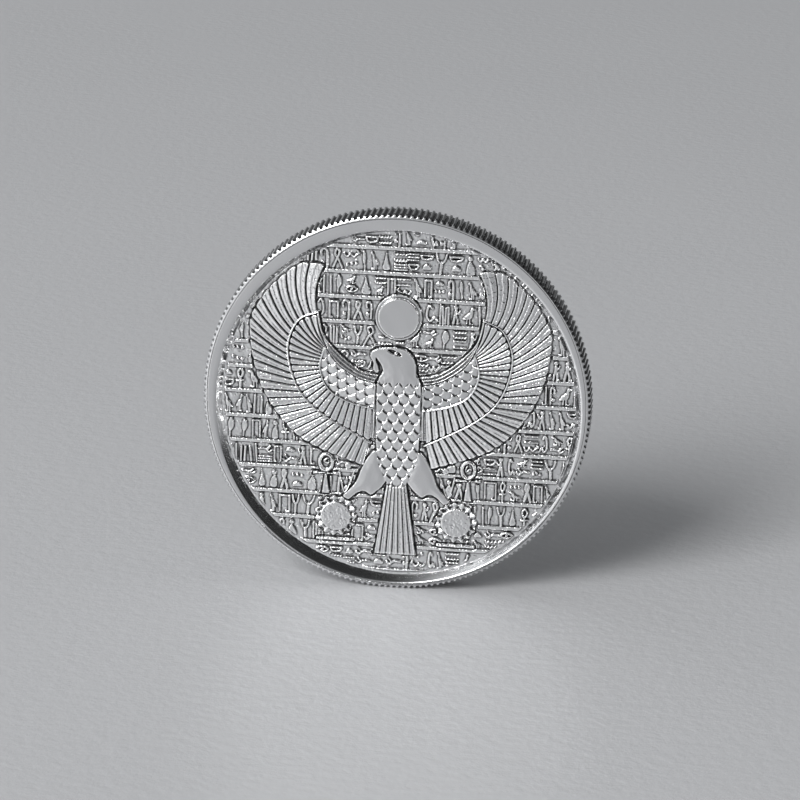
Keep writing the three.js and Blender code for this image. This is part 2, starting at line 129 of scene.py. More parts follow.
# ---- Obverse devices; a top is the height above the field ----
REGISTER_TOP = 16.2
REGISTER_PITCH = 2.59
REGISTERS = 13
RULE_WIDTH = 0.42
RULE_TOP = 0.22
MARK_TOP = 0.28
MARK_WALL = 0.11
MARK_HALF_WIDTHS = (0.34, 0.76)
MARK_GAPS = (0.12, 0.24)
STACKED_FROM = 0.5  # half width from which two low marks may share a place
UPPER_PART_END = REGISTER_TOP - 4 * REGISTER_PITCH
LOWER_PART_START = REGISTER_TOP - 9 * REGISTER_PITCH
SUN = {"x": -0.2, "y": 9.15, "ring": 2.42, "disc": 1.98, "top": 0.6, "ledge": 0.3}
SHEN = {"x": 6.1, "y": -11.95, "ring": 2.1, "disc": 1.46, "top": 0.52, "ledge": 0.26, "lobes": 15}
SHEN_BAR = {"length": 3.6, "drop": 2.5, "width": 0.42, "top": 0.36}
ANKH = {"x": 7.2, "y": -6.35, "wide": 0.85, "tall": 1.05, "band": 0.4, "foot": -9.7, "top": 0.4}
ANKH_ARM = {"length": 1.35, "root": 0.1, "end": 0.24, "top": 0.38}
ANKH_STEM = {"root": 0.18, "end": 0.48}
TAIL = {"top": -8.1, "bottom": -15.75, "top_half": 1.05, "bottom_half": 2.2, "flutes": 7}
TAIL_TOP = 0.34
FLUTE_RISE = 0.13
HEAD_TOP = 0.44
BEAK_TOP = 0.42
EYE_DEPTH = 0.32
BREAST_TOP = 0.42
LEG_TOP = 0.38
GRIP_TOP = 0.34
SCALE_WIDE = 1.07
SCALE_TALL = 1.93
SCALE_POINT = 1.8
SCALE_REACH = 0.52  # half of a scale's width, as a share of the scales' pitch
SCALE_DROP = 0.435
SCALE_STEP = 0.13
SCALE_GROOVE = 0.1
COVERT_WIDE = 1.08
COVERT_TALL = 1.7
COVERT_TILT = 0.5
COVERT_TOP = 0.38
COVERT_BORDER = {"width": 0.26, "top": 0.5}
CORD = {"width": 0.24, "top": 0.46}
ARM_TOP = 0.22
ARM_BAND_TOP = 0.42
ARM_BANDS = ((0.0, 0.27), (0.36, 0.63), (0.72, 1.0))
LEADING = {"width": 0.34, "top": 0.44}
# Where a fan's feathers start, turn to the tip and end are shares of their length.
INNER_FAN = {
    "feathers": 24, "crowding": 1.55, "bow": 0.12, "start": 0.02, "turn": 0.9, "tip": 0.965, "base": 0.3,
}
OUTER_FAN = {
    "feathers": 28, "crowding": 0.88, "bow": 0.2, "start": 0.0, "turn": 0.955, "tip": 1.0, "base": 0.25,
}
SICKLE_END = 0.45
FEATHER_FLOOR = 0.07
FEATHER_STEP = 0.16
FEATHER_WALL = 0.1
FEATHER_GROOVE = 0.2
GROOVE_RUN = 0.15
RIB_PLACE = 0.45
RIB_STEP = 0.1

# ---- Reverse devices ----
LOTUS = {"petals": 16, "inner": 4.1, "outer": 13.4, "half": 1.25}
PETAL_ROWS = ((0.5, LOTUS["outer"] - 0.9, 0.26), (0, LOTUS["outer"], 0.4))  # turn in pitches, end, top
COLLAR = {"inside": 0.1, "outside": 1.35, "middle": 0.6, "half": 0.7, "top": 0.46}
REVERSE_SUN = {"ring": 3.6, "disc": 3.0, "top": 0.58, "ledge": 0.32, "rays": 48}
BEADS = {"count": 48, "radius": 17.1, "size": 0.42, "top": 0.34}
WAVE_BAND = {"inner": 14.1, "outer": 16.0, "waves": 32, "spacing": 0.36, "swing": 0.3}
BAND_TOP = 0.22
WAVE_TOP = 0.2


# ======== plane geometry ========

def catmull_rom(points, closed=False, samples=12):
    """A smooth chain of places through these points."""
    points = np.array(points, float)
    if closed:
        around = np.vstack([points[-1], points, points[:2]])
    else:
        around = np.vstack([points[0], points, points[-1]])
    chain = []
    for before, start, end, after in zip(around, around[1:], around[2:], around[3:]):
        for t in np.arange(samples) / samples:
            chain.append(0.5 * (
                2 * start + (end - before) * t
                + (2 * before - 5 * start + 4 * end - after) * t * t
                + (3 * start - before - 3 * end + after) * t ** 3
            ))
    if not closed:
        chain.append(points[-1])
    return np.array(chain)


class Curve:
    """A smooth curve measured by its length."""

    def __init__(self, *points):
        self.chain = catmull_rom(points, samples=24)
        steps = np.hypot(*np.diff(self.chain, axis=0).T)
        self.length = np.concatenate([[0], np.cumsum(steps)])
        self.length /= self.length[-1]

    def at(self, share):
        share = np.clip(share, 0, 1)
        return np.stack([np.interp(share, self.length, self.chain[:, k]) for k in (0, 1)], axis=-1)


def circle(x, y, radius_x, radius_y=None, count=48):
    angle = np.arange(count) * 2 * math.pi / count
    return np.stack([x + radius_x * np.cos(angle), y + (radius_y or radius_x) * np.sin(angle)], axis=1)


def segment_distance(x, y, start, end):
    along = end - start
    share = ((x - start[0]) * along[0] + (y - start[1]) * along[1]) / max(along @ along, 1e-12)
    share = np.clip(share, 0, 1)
    return np.hypot(x - start[0] - share * along[0], y - start[1] - share * along[1])


def line_distance(x, y, chain):
    nearest = np.full(x.shape, np.inf)
    for start, end in zip(chain, chain[1:]):
        np.minimum(nearest, segment_distance(x, y, start, end), out=nearest)
    return nearest


def outline_depth(x, y, outline):
    """Distance to a closed outline, positive inside it."""
    inside = np.zeros(x.shape, bool)
    for (ax, ay), (bx, by) in zip(outline, np.roll(outline, -1, axis=0)):
        if ay != by:
            inside ^= ((ay > y) != (by > y)) & (x < ax + (y - ay) * (bx - ax) / (by - ay))
    nearest = line_distance(x, y, np.vstack([outline, outline[:1]]))
    return np.where(inside, nearest, -nearest)


def swell(depth, run):
    """From 0 at the outline to 1 at this run inside it, rounded at both ends."""
    share = np.clip(depth / run, 0, 1)
    return share * share * (3 - 2 * share)


def spread(mask):
    """The mask grown by one cell each way."""
    grown = mask.copy()
    grown[1:] |= mask[:-1]
    grown[:-1] |= mask[1:]
    grown[:, 1:] |= mask[:, :-1]
    grown[:, :-1] |= mask[:, 1:]
    return grown


def blurred(values, cells):
    """A box blur, run twice."""
    for _ in range(2):
        for axis in (0, 1):
            margins = [(cells + 1, cells) if k == axis else (0, 0) for k in (0, 1)]
            padded = np.pad(values, margins, mode="edge")
            total = np.cumsum(padded, axis=axis)
            count = values.shape[axis]
            window = 2 * cells + 1
            upper = np.take(total, range(window, window + count), axis=axis)
            values = (upper - np.take(total, range(count), axis=axis)) / window
    return values


# ======== relief on a grid ========

EVERYWHERE = (slice(None), slice(None))


class Relief:
    """Heights above a coin's field on a square grid, and the region that owns each spot."""

    def __init__(self, step):
        count = math.ceil(FIELD_EDGE / step) + 2
        self.step = step
        self.axis = np.arange(-count, count + 1) * step
        self.x, self.y = np.meshgrid(self.axis, self.axis)
        self.height = np.zeros(self.x.shape)
        self.region = np.zeros(self.x.shape, int)
        self.names = ["field"]

    def around(self, points, margin=0.25):
        """The part of the grid that holds these points."""
        low = np.min(points, axis=0) - margin
        high = np.max(points, axis=0) + margin
        columns = slice(*np.searchsorted(self.axis, (low[0], high[0])))
        rows = slice(*np.searchsorted(self.axis, (low[1], high[1])))
        return rows, columns

    def places(self, window):
        return self.x[window], self.y[window]

    def within(self, outline):
        """The part of the grid round an outline, its places and their depth inside the outline."""
        window = self.around(outline)
        x, y = self.places(window)
        return window, x, y, outline_depth(x, y, outline)

    def claim(self, name, window, mask):
        if name not in self.names:
            self.names.append(name)
        self.region[window][mask] = self.names.index(name)

    def lift(self, window, height, mask=None):
        """Raises the relief to at least this height."""
        if mask is not None:
            height = np.where(mask, height, 0)
        self.height[window] = np.maximum(self.height[window], height)

    def plate(self, name, outline, top, run=0.16, dome=0.0, dome_run=1.0, margin=0.06):
        """A raised shape with rounded walls, owned by a region; a dome swells its middle."""
        window, _, _, depth = self.within(outline)
        self.lift(window, top * swell(depth, run) + dome * swell(depth, dome_run))
        if name:
            self.claim(name, window, depth > -margin)

    def cord(self, chain, width, top, base=0.0, name=None, margin=0.04):
        """A rounded ridge along a chain of points."""
        window = self.around(chain, width)
        distance = line_distance(*self.places(window), chain)
        share = np.clip(1 - (2 * distance / width) ** 2, 0, 1)
        self.lift(window, base + (top - base) * np.sqrt(share), share > 0)
        if name:
            self.claim(name, window, distance < width / 2 + margin)


# ======== the falcon ========

HEAD = [
    (1.85, 2.6), (1.8, 3.6), (1.74, 4.4), (1.42, 5.2), (0.8, 5.85), (0, 6.1), (-1.2, 6.12), (-2.2, 5.95),
    (-2.85, 5.6), (-2.95, 5.15), (-2.5, 4.95), (-2.1, 4.45), (-1.8, 3.9), (-1.65, 3.0), (-1.62, 1.7),
    (-1.07, 2.35), (-0.53, 1.75), (0, 2.35), (0.53, 1.75), (1.07, 2.35), (1.5, 1.85),
]
BEAK = [
    (-2.3, 5.5), (-2.95, 5.5), (-3.02, 4.95), (-2.72, 4.35), (-2.74, 3.8), (-2.42, 3.25), (-1.98, 3.4),
    (-2.06, 4.1), (-2.26, 4.6),
]
EYE = [(-1.25, 5.8), (-0.7, 5.82), (0.05, 5.5), (0.15, 5.2), (-0.4, 5.3), (-0.9, 5.5)]
BREAST_SIDE = [
    (1.6, 3.6), (1.95, 3.0), (2.2, 2.2), (2.2, -1.5), (2.15, -4.2), (1.95, -6), (1.3, -7.5), (0.8, -8.5),
]
LEG = [
    (1.9, -4.9), (2.35, -4.75), (2.75, -5.1), (3.3, -6.0), (3.8, -7.1), (4.2, -8.2), (4.9, -9.1), (5.5, -9.8),
    (4.8, -10.2), (4.0, -9.5), (3.3, -9.25), (2.6, -9.6), (2.0, -9.2), (1.4, -8.6), (0.9, -7.6), (1.5, -6.0),
]
GRIP = [(4.3, -7.0), (4.75, -8.4), (5.25, -9.4), (5.6, -8.4), (5.85, -7.3)]

# The right wing: the arm's two edges, the coverts' edge, the corded arc and the feather tips.
ARM_UPPER = Curve((2.0, 3.15), (4.0, 3.6), (6.1, 5.2), (7.6, 7.0), (8.15, 9.2))
ARM_LOWER = Curve((2.45, 2.25), (4.2, 2.7), (6.2, 4.0), (7.35, 5.5))
COVERT_EDGE = Curve((7.5, 5.8), (8.0, 3.6), (7.1, 1.4), (5.1, 0.2), (2.5, -0.4))
CORD_ARC = Curve((8.3, 9.3), (10.3, 8.3), (11.3, 5.4), (10.3, 1.5), (7.8, -1.2), (2.7, -4.05))
WING_EDGE = Curve(
    (7.3, 14.2), (10.0, 14.3), (12.4, 12.5), (14.3, 10.1), (15.2, 7.2), (13.9, 1.2), (9.9, -3.9), (3.2, -6.6),
)


def feather_line(share, inner, along):
    """Places on the curve between two feathers, at this share of the wing from its tip down."""
    fan = INNER_FAN if inner else OUTER_FAN
    start = COVERT_EDGE.at(share ** fan["crowding"]) if inner else CORD_ARC.at(share)
    end = CORD_ARC.at(share) if inner else WING_EDGE.at(share ** fan["crowding"])
    across = end - start
    bow = fan["bow"] * max(0, 1 - share / SICKLE_END)
    middle = (start + end) / 2 + bow * np.array([across[1], -across[0]])
    along = np.asarray(along, float)[:, None]
    return (1 - along) ** 2 * start + 2 * along * (1 - along) * middle + along ** 2 * end


def sided(points, side):
    return np.asarray(points, float) * (side, 1)


def feather_fan(relief, name, side, inner):
    """Feathers like slats: each rises steeply beside the one above it, then falls away."""
    fan = INNER_FAN if inner else OUTER_FAN
    along = np.linspace(fan["start"], fan["turn"], 9)
    edges = np.linspace(0.006, 0.994, fan["feathers"] + 1)
    for first, second in zip(edges, edges[1:]):
        near = feather_line(first, inner, along)
        far = feather_line(second, inner, along)
        middle = (near[-1] + far[-1]) / 2
        half = (far[-1] - near[-1]) / 2
        tip = feather_line((first + second) / 2, inner, [fan["tip"]])[0] - middle
        turn = np.linspace(0, math.pi, 9)[1:-1, None]
        cap = sided(middle - half * np.cos(turn) + tip * np.sin(turn), side)
        outline = np.vstack([sided(near, side), cap, sided(far[::-1], side)])
        window, x, y, depth = relief.within(outline)
        to_near = line_distance(x, y, sided(near, side))
        to_far = line_distance(x, y, sided(far, side))
        share = to_near / np.maximum(to_near + to_far, 1e-6)
        slat = (1 - share) * swell(to_near, FEATHER_WALL)
        rib = (1 - share) * swell(to_near - RIB_PLACE * (to_near + to_far), FEATHER_WALL)
        groove = FEATHER_GROOVE * (1 - swell(to_far, GROOVE_RUN))
        height = fan["base"] + FEATHER_STEP * slat + RIB_STEP * rib - groove
        relief.lift(window, height * swell(line_distance(x, y, cap) + 0.02, 0.1), depth > 0)
        relief.lift(window, FEATHER_FLOOR * swell(depth + 0.1, 0.1))
        relief.claim(name, window, depth > -0.11)


def scaled(x, y, wide, tall, tilt):
    """Staggered scales like slates laid from the top down: each steps up from the ones above it."""
    across = x * math.cos(tilt) + y * math.sin(tilt)
    up = y * math.cos(tilt) - x * math.sin(tilt)
    reach = SCALE_REACH * wide
    drop = SCALE_DROP * tall
    row_step = tall / 2
    nearest_row = np.round(up / row_step)
    depth = np.zeros(x.shape)
    lean = np.zeros(x.shape)
    above = np.full(x.shape, np.inf)
    free = np.ones(x.shape, bool)
    for offset in (2, 1, 0, -1):
        row = nearest_row + offset
        shift = (row % 2) / 2
        column = np.round(across / wide - shift) + shift
        rise = up - row * row_step
        aside = np.abs(across - column * wide) / reach
        below = np.abs(rise / drop)
        distance = reach * (aside ** SCALE_POINT + below ** SCALE_POINT) ** (1 / SCALE_POINT)
        covered = free & (distance < reach)
        depth = np.where(covered, np.minimum(reach - distance, above), depth)
        lean = np.where(covered, rise / row_step, lean)
        free &= ~covered
        above = np.where(free, np.minimum(above, distance - reach), above)
    return blurred(SCALE_STEP * lean - SCALE_GROOVE * (1 - swell(depth, 0.1)), 1)


def draw_breast(relief):
    right = np.array(BREAST_SIDE)
    outline = np.vstack([right, right[::-1] * (-1, 1)])
    window, x, y, depth = relief.within(outline)
    body = (BREAST_TOP + scaled(x, y, SCALE_WIDE, SCALE_TALL, 0)) * swell(depth + 0.1, 0.12)
    beside = np.maximum(relief.height[window], body * (depth > -0.1))
    relief.height[window] = np.where(depth > 0, body, beside)
    relief.claim("falcon_breast", window, depth > -0.05)
    for side in (-1, 1):
        strip = sided([(2.42, 2.2), (2.47, 0.6), (2.45, -1.6), (2.5, -3.6)], side)
        for half, top in ((0.42, 0.26), (0.15, BREAST_TOP)):
            outline = np.vstack([strip - (half, 0), strip[::-1] + (half, 0)])
            relief.plate("falcon_breast", outline, top, run=0.1)


def draw_coverts(relief, name, side):
    upper = ARM_LOWER.at(np.linspace(0, 1, 9)) - (0, 0.03)
    lower = COVERT_EDGE.at(np.linspace(0.0, 1, 13))
    outline = sided(np.vstack([upper, lower]), side)
    window, x, y, depth = relief.within(outline)
    scales = scaled(x * side, y, COVERT_WIDE, COVERT_TALL, COVERT_TILT)
    relief.lift(window, (COVERT_TOP + scales) * swell(depth + 0.06, 0.12), depth > -0.06)
    relief.claim(name, window, depth > -0.02)
    border = sided(COVERT_EDGE.at(np.linspace(0.02, 1, 24)), side)
    relief.cord(border, COVERT_BORDER["width"], COVERT_BORDER["top"], base=0.2, name=name)


def draw_arm(relief, name, side):
    """Three smooth bands from the shoulder to the wrist, and on up the first feather."""
    share = np.linspace(0, 1, 14)
    first_feather = feather_line(0.01, True, [0.9, 0.5, 0.1])
    outline = np.vstack([ARM_UPPER.at(share), first_feather, ARM_LOWER.at(share)[::-1]])
    relief.plate(name, sided(outline, side), ARM_TOP, run=0.12)
    upper, lower = ARM_UPPER.at(share * 0.74), ARM_LOWER.at(share)
    for near, far in ARM_BANDS:
        edges = [upper * (1 - across) + lower * across for across in (near, far)]
        band = np.vstack([edges[0], edges[1][::-1]])
        relief.plate(name, sided(band, side), ARM_BAND_TOP, run=0.09)
    leading = ARM_UPPER.at(np.linspace(0.55, 1, 10))
    outline = np.vstack([leading, leading[::-1] + (LEADING["width"], 0)])
    relief.plate(name, sided(outline, side), LEADING["top"], run=0.11)


def draw_head(relief):
    head = catmull_rom(HEAD, closed=True, samples=5)
    beak = catmull_rom(BEAK, closed=True, samples=5)
    relief.plate("falcon_head", head, HEAD_TOP, run=0.14, dome=0.05, dome_run=1.2)
    relief.plate("falcon_head", beak, BEAK_TOP, run=0.16)
    window, _, _, depth = relief.within(catmull_rom(EYE, closed=True, samples=4))
    relief.height[window] -= EYE_DEPTH * swell(depth + 0.05, 0.16)
    relief.cord(circle(-0.35, 5.48, 0.1, count=10), 0.16, 0.5, base=0.4)


def draw_tail(relief):
    top, bottom = TAIL["top"], TAIL["bottom"]
    half_top, half_bottom = TAIL["top_half"], TAIL["bottom_half"]
    outline = np.array([(-half_top, top), (-half_bottom, bottom), (half_bottom, bottom), (half_top, top)])
    window, x, y, depth = relief.within(outline)
    drop = (top - y) / (top - bottom)
    half = half_top + (half_bottom - half_top) * np.clip(drop, 0, 1)
    flute = (x / half + 1) / 2 * TAIL["flutes"]
    within = np.abs(flute - np.floor(flute) - 0.5) * 2
    ridge = swell(1 - within, 0.36) + 0.4 * np.exp(-((within - 0.45) / 0.12) ** 2)
    relief.lift(window, (TAIL_TOP + FLUTE_RISE * ridge) * swell(depth, 0.13), depth > 0)
    relief.claim("falcon_tail", window, depth > -0.05)


def raised_disc(relief, name, x, y, sizes):
    """A flat disc with a rounded shoulder that drops to a narrow ledge, which may be lobed."""
    disc, ring = sizes["disc"], sizes["ring"]
    window = relief.around(circle(x, y, ring))
    px, py = relief.places(window)
    distance = np.hypot(px - x, py - y)
    lobes = sizes.get("lobes", 0)
    lobe = 0.1 * np.cos(lobes * np.arctan2(py - y, px - x)) if lobes else 0
    ledge_top = sizes["ledge"] + lobe * swell(distance - disc, 0.15)
    height = ledge_top * swell(ring + lobe - distance, 0.12)
    height = height + (sizes["top"] - sizes["ledge"]) * swell(disc + 0.16 - distance, 0.18)
    relief.lift(window, height)
    relief.claim(name, window, distance < ring + 0.05)


def draw_shen(relief, name, side):
    x, y = side * SHEN["x"], SHEN["y"]
    raised_disc(relief, name, x, y, SHEN)
    half = SHEN_BAR["length"] / 2
    bar = np.array([(x - half, y - SHEN_BAR["drop"]), (x + half, y - SHEN_BAR["drop"])])
    relief.cord(bar, SHEN_BAR["width"], SHEN_BAR["top"], name=name)


def draw_ankh(relief, name, side):
    x, y = side * ANKH["x"], ANKH["y"]
    middle = circle(x, y, ANKH["wide"] - ANKH["band"] / 2, ANKH["tall"] - ANKH["band"] / 2)
    relief.cord(np.vstack([middle, middle[:1]]), ANKH["band"], ANKH["top"], base=0.1, name=name)
    cross = y - ANKH["tall"] - 0.1
    root, end = ANKH_ARM["root"], ANKH_ARM["end"]
    for tip in (x - ANKH_ARM["length"], x + ANKH_ARM["length"]):
        arm = [(x, cross + root), (tip, cross + end), (tip, cross - end), (x, cross - root)]
        relief.plate(name, np.array(arm), ANKH_ARM["top"], run=0.14)
    root, end, foot = ANKH_STEM["root"], ANKH_STEM["end"], ANKH["foot"]
    stem = [(x - root, cross), (x + root, cross), (x + end, foot), (x - end, foot)]
    relief.plate(name, np.array(stem), ANKH["top"], run=0.16)


def draw_falcon(relief):
    for label, side in (("left", -1), ("right", 1)):
        draw_ankh(relief, label + "_ankh", side)
        feather_fan(relief, label + "_wing_outer_feathers", side, inner=False)
        feather_fan(relief, label + "_wing_inner_feathers", side, inner=True)
        arc = sided(CORD_ARC.at(np.linspace(0, 1, 48)), side)
        relief.cord(arc, CORD["width"], CORD["top"], base=0.2, name=label + "_wing_inner_feathers")
        draw_coverts(relief, label + "_wing_coverts", side)
        draw_arm(relief, label + "_wing_leading_edge", side)
        draw_shen(relief, label + "_shen_ring", side)
        leg = catmull_rom(sided(LEG, side), closed=True, samples=4)
        relief.plate(label + "_leg", leg, LEG_TOP, run=0.14, dome=0.05, dome_run=0.9)
        grip = catmull_rom(sided(GRIP, side), samples=5)
        relief.cord(grip, 0.26, GRIP_TOP)
        relief.plate(None, circle(side * 4.95, -6.6, 0.42, count=16), GRIP_TOP, run=0.14)
    draw_tail(relief)
    draw_breast(relief)
    draw_head(relief)
    raised_disc(relief, "sun_disk", SUN["x"], SUN["y"], SUN)


# ======== registers of small marks ========

class Scribe:
    """Draws invented picture-like marks with no meaning, as low flat-topped shapes."""

    def __init__(self, relief, seed, clear):
        self.relief = relief
        self.clear = clear
        self.random = np.random.default_rng(seed)
        self.spot = None

    def pick(self, low, high):
        return self.random.uniform(low, high)

    def lift(self, window, depth, top=MARK_TOP):
        """Raises a flat-topped shape where there is room; its outline lies at depth 0."""
        height = top * swell(depth + MARK_WALL / 2, MARK_WALL)
        self.relief.lift(window, height * self.clear[window])

    def place(self, points):
        """Turns places in the mark's own box, -1 to 1 each way, into places on the coin."""
        x, y, w, h = self.spot
        return np.array([(x + w * u, y + h * v) for u, v in points])

    def stroke(self, chain, width=0.25, top=MARK_TOP):
        window = self.relief.around(chain, width)
        distance = line_distance(*self.relief.places(window), chain)
        self.lift(window, width / 2 - distance, top)

    def line(self, *points, width=0.25):
        self.stroke(self.place(points), width * self.pick(0.85, 1.2))

    def bend(self, *points, width=0.25, closed=False):
        chain = catmull_rom(self.place(points), closed, samples=4)
        if closed:
            chain = np.vstack([chain, chain[:1]])
        self.stroke(chain, width * self.pick(0.85, 1.2))

    def blob(self, *points):
        outline = catmull_rom(self.place(points), closed=True, samples=4)
        window, _, _, depth = self.relief.within(outline)
        self.lift(window, depth)

    def dot(self, u, v, radius=0.17):
        (x, y), = self.place([(u, v)])
        window = self.relief.around(circle(x, y, radius, count=8))
        px, py = self.relief.places(window)
        self.lift(window, radius - np.hypot(px - x, py - y))

    def bird(self):
        self.blob((-0.5, 0.2), (-0.1, 0.35), (0.4, 0.05), (0.95, -0.55), (0.3, -0.45), (-0.3, -0.35))
        self.blob((-0.95, 0.72), (-0.55, 0.98), (-0.2, 0.75), (-0.1, 0.2), (-0.5, 0.15), (-0.55, 0.6))
        self.line((-0.1, -0.3), (-0.1, -0.98), (-0.5, -0.98), width=0.17)
        self.line((0.25, -0.3), (0.3, -0.95), width=0.17)

    def walker(self):
        self.dot(0.05, 0.78, 0.22)
        self.blob((-0.3, 0.5), (0.35, 0.5), (0.3, -0.1), (-0.25, -0.1))
        self.bend((0.1, 0.4), (0.6, 0.15), (0.95, 0.5), width=0.19)
        self.line((-0.15, -0.1), (-0.5, -0.98), width=0.24)
        self.line((0.15, -0.1), (0.45, -0.6), (0.4, -0.98), (0.75, -0.98), width=0.22)

    def seated(self):
        self.blob((-0.65, -0.98), (-0.6, -0.1), (-0.2, 0.4), (0.2, 0.25), (0.75, -0.3), (0.7, -0.98))
        self.dot(-0.05, 0.68, 0.24)

    def leaf(self):
        self.blob((-0.1, -0.6), (0.5, 0), (0.45, 0.75), (0, 1), (-0.35, 0.6), (-0.4, 0))
        self.line((-0.1, -0.5), (-0.15, -1), width=0.19)

    def serpent(self):
        self.bend(
            (-1, -0.8), (-0.6, -0.45), (-0.1, -0.85), (0.4, -0.4), (0.35, 0.4), (0.05, 0.9), (-0.35, 0.6))

    def low_serpent(self):
        self.bend((-1, 0.5), (-0.65, 0.1), (-0.25, -0.5), (0.2, 0.2), (0.6, -0.5), (1, 0.1), width=0.24)
        self.line((-1, 0.5), (-0.8, 0.95), width=0.2)

    def loaf(self):
        self.blob((-0.7, -0.55), (-0.5, 0.25), (0, 0.6), (0.5, 0.25), (0.7, -0.55), (0, -0.6))

    def ripples(self):
        for level in self.levels(2, 3, 0.7):
            crests = enumerate(np.linspace(-1, 1, 9))
            self.line(*((u, level + 0.14 * (-1) ** i) for i, u in crests), width=0.17)

    def bars(self):
        for level in self.levels(2, 4, 0.8):
            self.line((-0.95, level), (0.95, level), width=0.19)

    def levels(self, fewest, most, reach):
        return np.linspace(-reach, reach, self.random.integers(fewest, most))

    def reach_out(self):
        self.bend((-1, 0.1), (-0.2, 0.15), (0.3, -0.1), (0.55, -0.55), (1, -0.1), width=0.24)
        self.line((0.3, 0.1), (0.7, 0.75), width=0.2)

    def lens(self):
        lids = (-1, 0), (-0.3, 0.7), (0.5, 0.6), (1, 0), (0.3, -0.65), (-0.4, -0.55)
        self.bend(*lids, width=0.2, closed=True)
        self.dot(0.05, 0.02, 0.15)

    def staffs(self):
        for u in self.levels(2, 5, 0.85):
            lean = self.pick(-0.12, 0.12)
            self.line((u - lean, -1), (u + lean, self.pick(0.55, 1)), width=0.24)

    def crook(self):
        self.bend((-0.4, -1), (-0.45, 0.1), (-0.3, 0.8), (0.25, 0.95), (0.6, 0.6), (0.5, 0.25), width=0.25)
        self.dot(0.35, -0.55, 0.2)

    def knot(self):
        self.bend((-0.9, -1), (-0.2, -0.1), (0.45, 0.4), (0.2, 0.95), (-0.35, 0.8), (-0.1, 0.2), (0.8, -0.95))

    def loop(self):
        self.bend((-0.1, 0.98), (0.45, 0.6), (0.2, 0.1), (-0.3, 0.15), (-0.6, 0.65), width=0.23, closed=True)
        self.line((0, 0.1), (-0.05, -0.98))
        self.line((-0.7, -0.25), (0.7, -0.35), width=0.2)

    def fork(self):
        self.bend((-0.8, 0.95), (-0.5, 0.3), (0, 0), (0.55, 0.35), (0.75, 0.95), width=0.22)
        self.line((0, 0.05), (0.1, -0.98), width=0.27)

    def porch(self):
        self.line((-0.85, -0.9), (-0.85, 0.85), (0.85, 0.85), (0.85, -0.95), (0.3, -0.95), width=0.2)

    def wedge(self):
        self.blob((-0.6, -0.95), (0.7, -0.9), (0.35, 0.1), (0.1, 0.95), (-0.2, 0.1))

    def scoop(self):
        self.bend((-0.95, 0.5), (-0.7, -0.4), (0, -0.65), (0.7, -0.4), (0.95, 0.5), width=0.22)
        self.line((-0.95, 0.55), (0.95, 0.6), width=0.18)

    def pellets(self):
        for u in (-0.6, 0, 0.6):
            self.dot(u, self.pick(-0.4, 0.4), 0.15)

    TALL = (
        bird, walker, seated, leaf, serpent, staffs, crook, knot, loop, fork, porch, wedge, bird, staffs,
    )
    WIDE = (low_serpent, loaf, ripples, bars, reach_out, lens, scoop, pellets, bird, reach_out)

    def draw(self, kinds, x, y, w, h):
        side = self.random.choice([-1, 1])
        self.spot = (x, y, side * w, h)
        kinds[self.random.integers(len(kinds))](self)

    def group(self, x, y, w, h):
        """One mark of full height, or two low ones, one above the other."""
        if w > STACKED_FROM and self.random.random() < 0.5:
            split = self.pick(-0.15, 0.15)
            self.draw(self.WIDE, x, y - (1 - split) / 2 * h, w, (1 + split) / 2 * h - 0.1)
            self.draw(self.WIDE, x, y + (1 + split) / 2 * h, w, (1 - split) / 2 * h - 0.1)
        else:
            self.draw(self.TALL, x, y, w, h * self.pick(0.88, 1))

    def row(self, middle, half_height, reach):
        """Marks side by side from one end of a register to the other."""
        x = -reach + self.pick(0, 0.3)
        while x < reach:
            w = self.pick(*MARK_HALF_WIDTHS)
            if x + w < reach + 0.3:
                self.group(x + w, middle + self.pick(-0.04, 0.04), w, half_height)
            x += 2 * w + self.pick(*MARK_GAPS)


def draw_registers(relief):
    """Raised rules across the open field, with rows of marks between them."""
    taken = spread(relief.region > 0)
    clear = 1 - blurred(taken.astype(float), 1)
    clear = np.clip(clear * 1.6 - 0.6, 0, 1)
    wall_gap = 0.16 - 0.13 * (relief.y + 0.4 * relief.x) / WALL_FOOT
    clear *= swell(WALL_FOOT - wall_gap - np.hypot(relief.x, relief.y), MARK_WALL)
    scribe = Scribe(relief, MARK_SEED, clear)
    half_height = (REGISTER_PITCH - RULE_WIDTH) / 2 - 0.1
    for number in range(REGISTERS + 1):
        rule = REGISTER_TOP - number * REGISTER_PITCH
        if abs(rule) < WALL_FOOT:
            reach = math.sqrt(WALL_FOOT ** 2 - rule ** 2)
            scribe.stroke(np.array([(-reach, rule), (reach, rule)]), RULE_WIDTH, RULE_TOP)
        middle = rule + REGISTER_PITCH / 2
        nearest = max(abs(middle) - 0.3, 0)
        if nearest < WALL_FOOT:
            scribe.row(middle, half_height, math.sqrt(WALL_FOOT ** 2 - nearest ** 2))


def hand_cut(relief, seed, amount):
    """The slight unevenness of a die cut by hand."""
    noise = np.random.default_rng(seed).normal(size=relief.height.shape)
    slow = blurred(noise, 14)
    fine = blurred(noise, 3)
    relief.height += amount * (slow / slow.std() + 0.35 * fine / fine.std())


def roughen(relief, seed, amount):
    """A fine texture over all but the smooth devices."""
    noise = blurred(np.random.default_rng(seed).normal(size=relief.height.shape), 1)
    numbers = [number for number, name in enumerate(relief.names) if name in BRIGHT_NODES]
    smooth = np.isin(relief.region, numbers)
    relief.height += amount * noise / noise.std() * (1 - blurred(smooth.astype(float), 2))


def obverse_relief():
    relief = Relief(OBVERSE_STEP)
    draw_falcon(relief)
    draw_registers(relief)
    hand_cut(relief, *OBVERSE_HAND)
    roughen(relief, *OBVERSE_ROUGHNESS)
    return relief


# ======== reverse ========

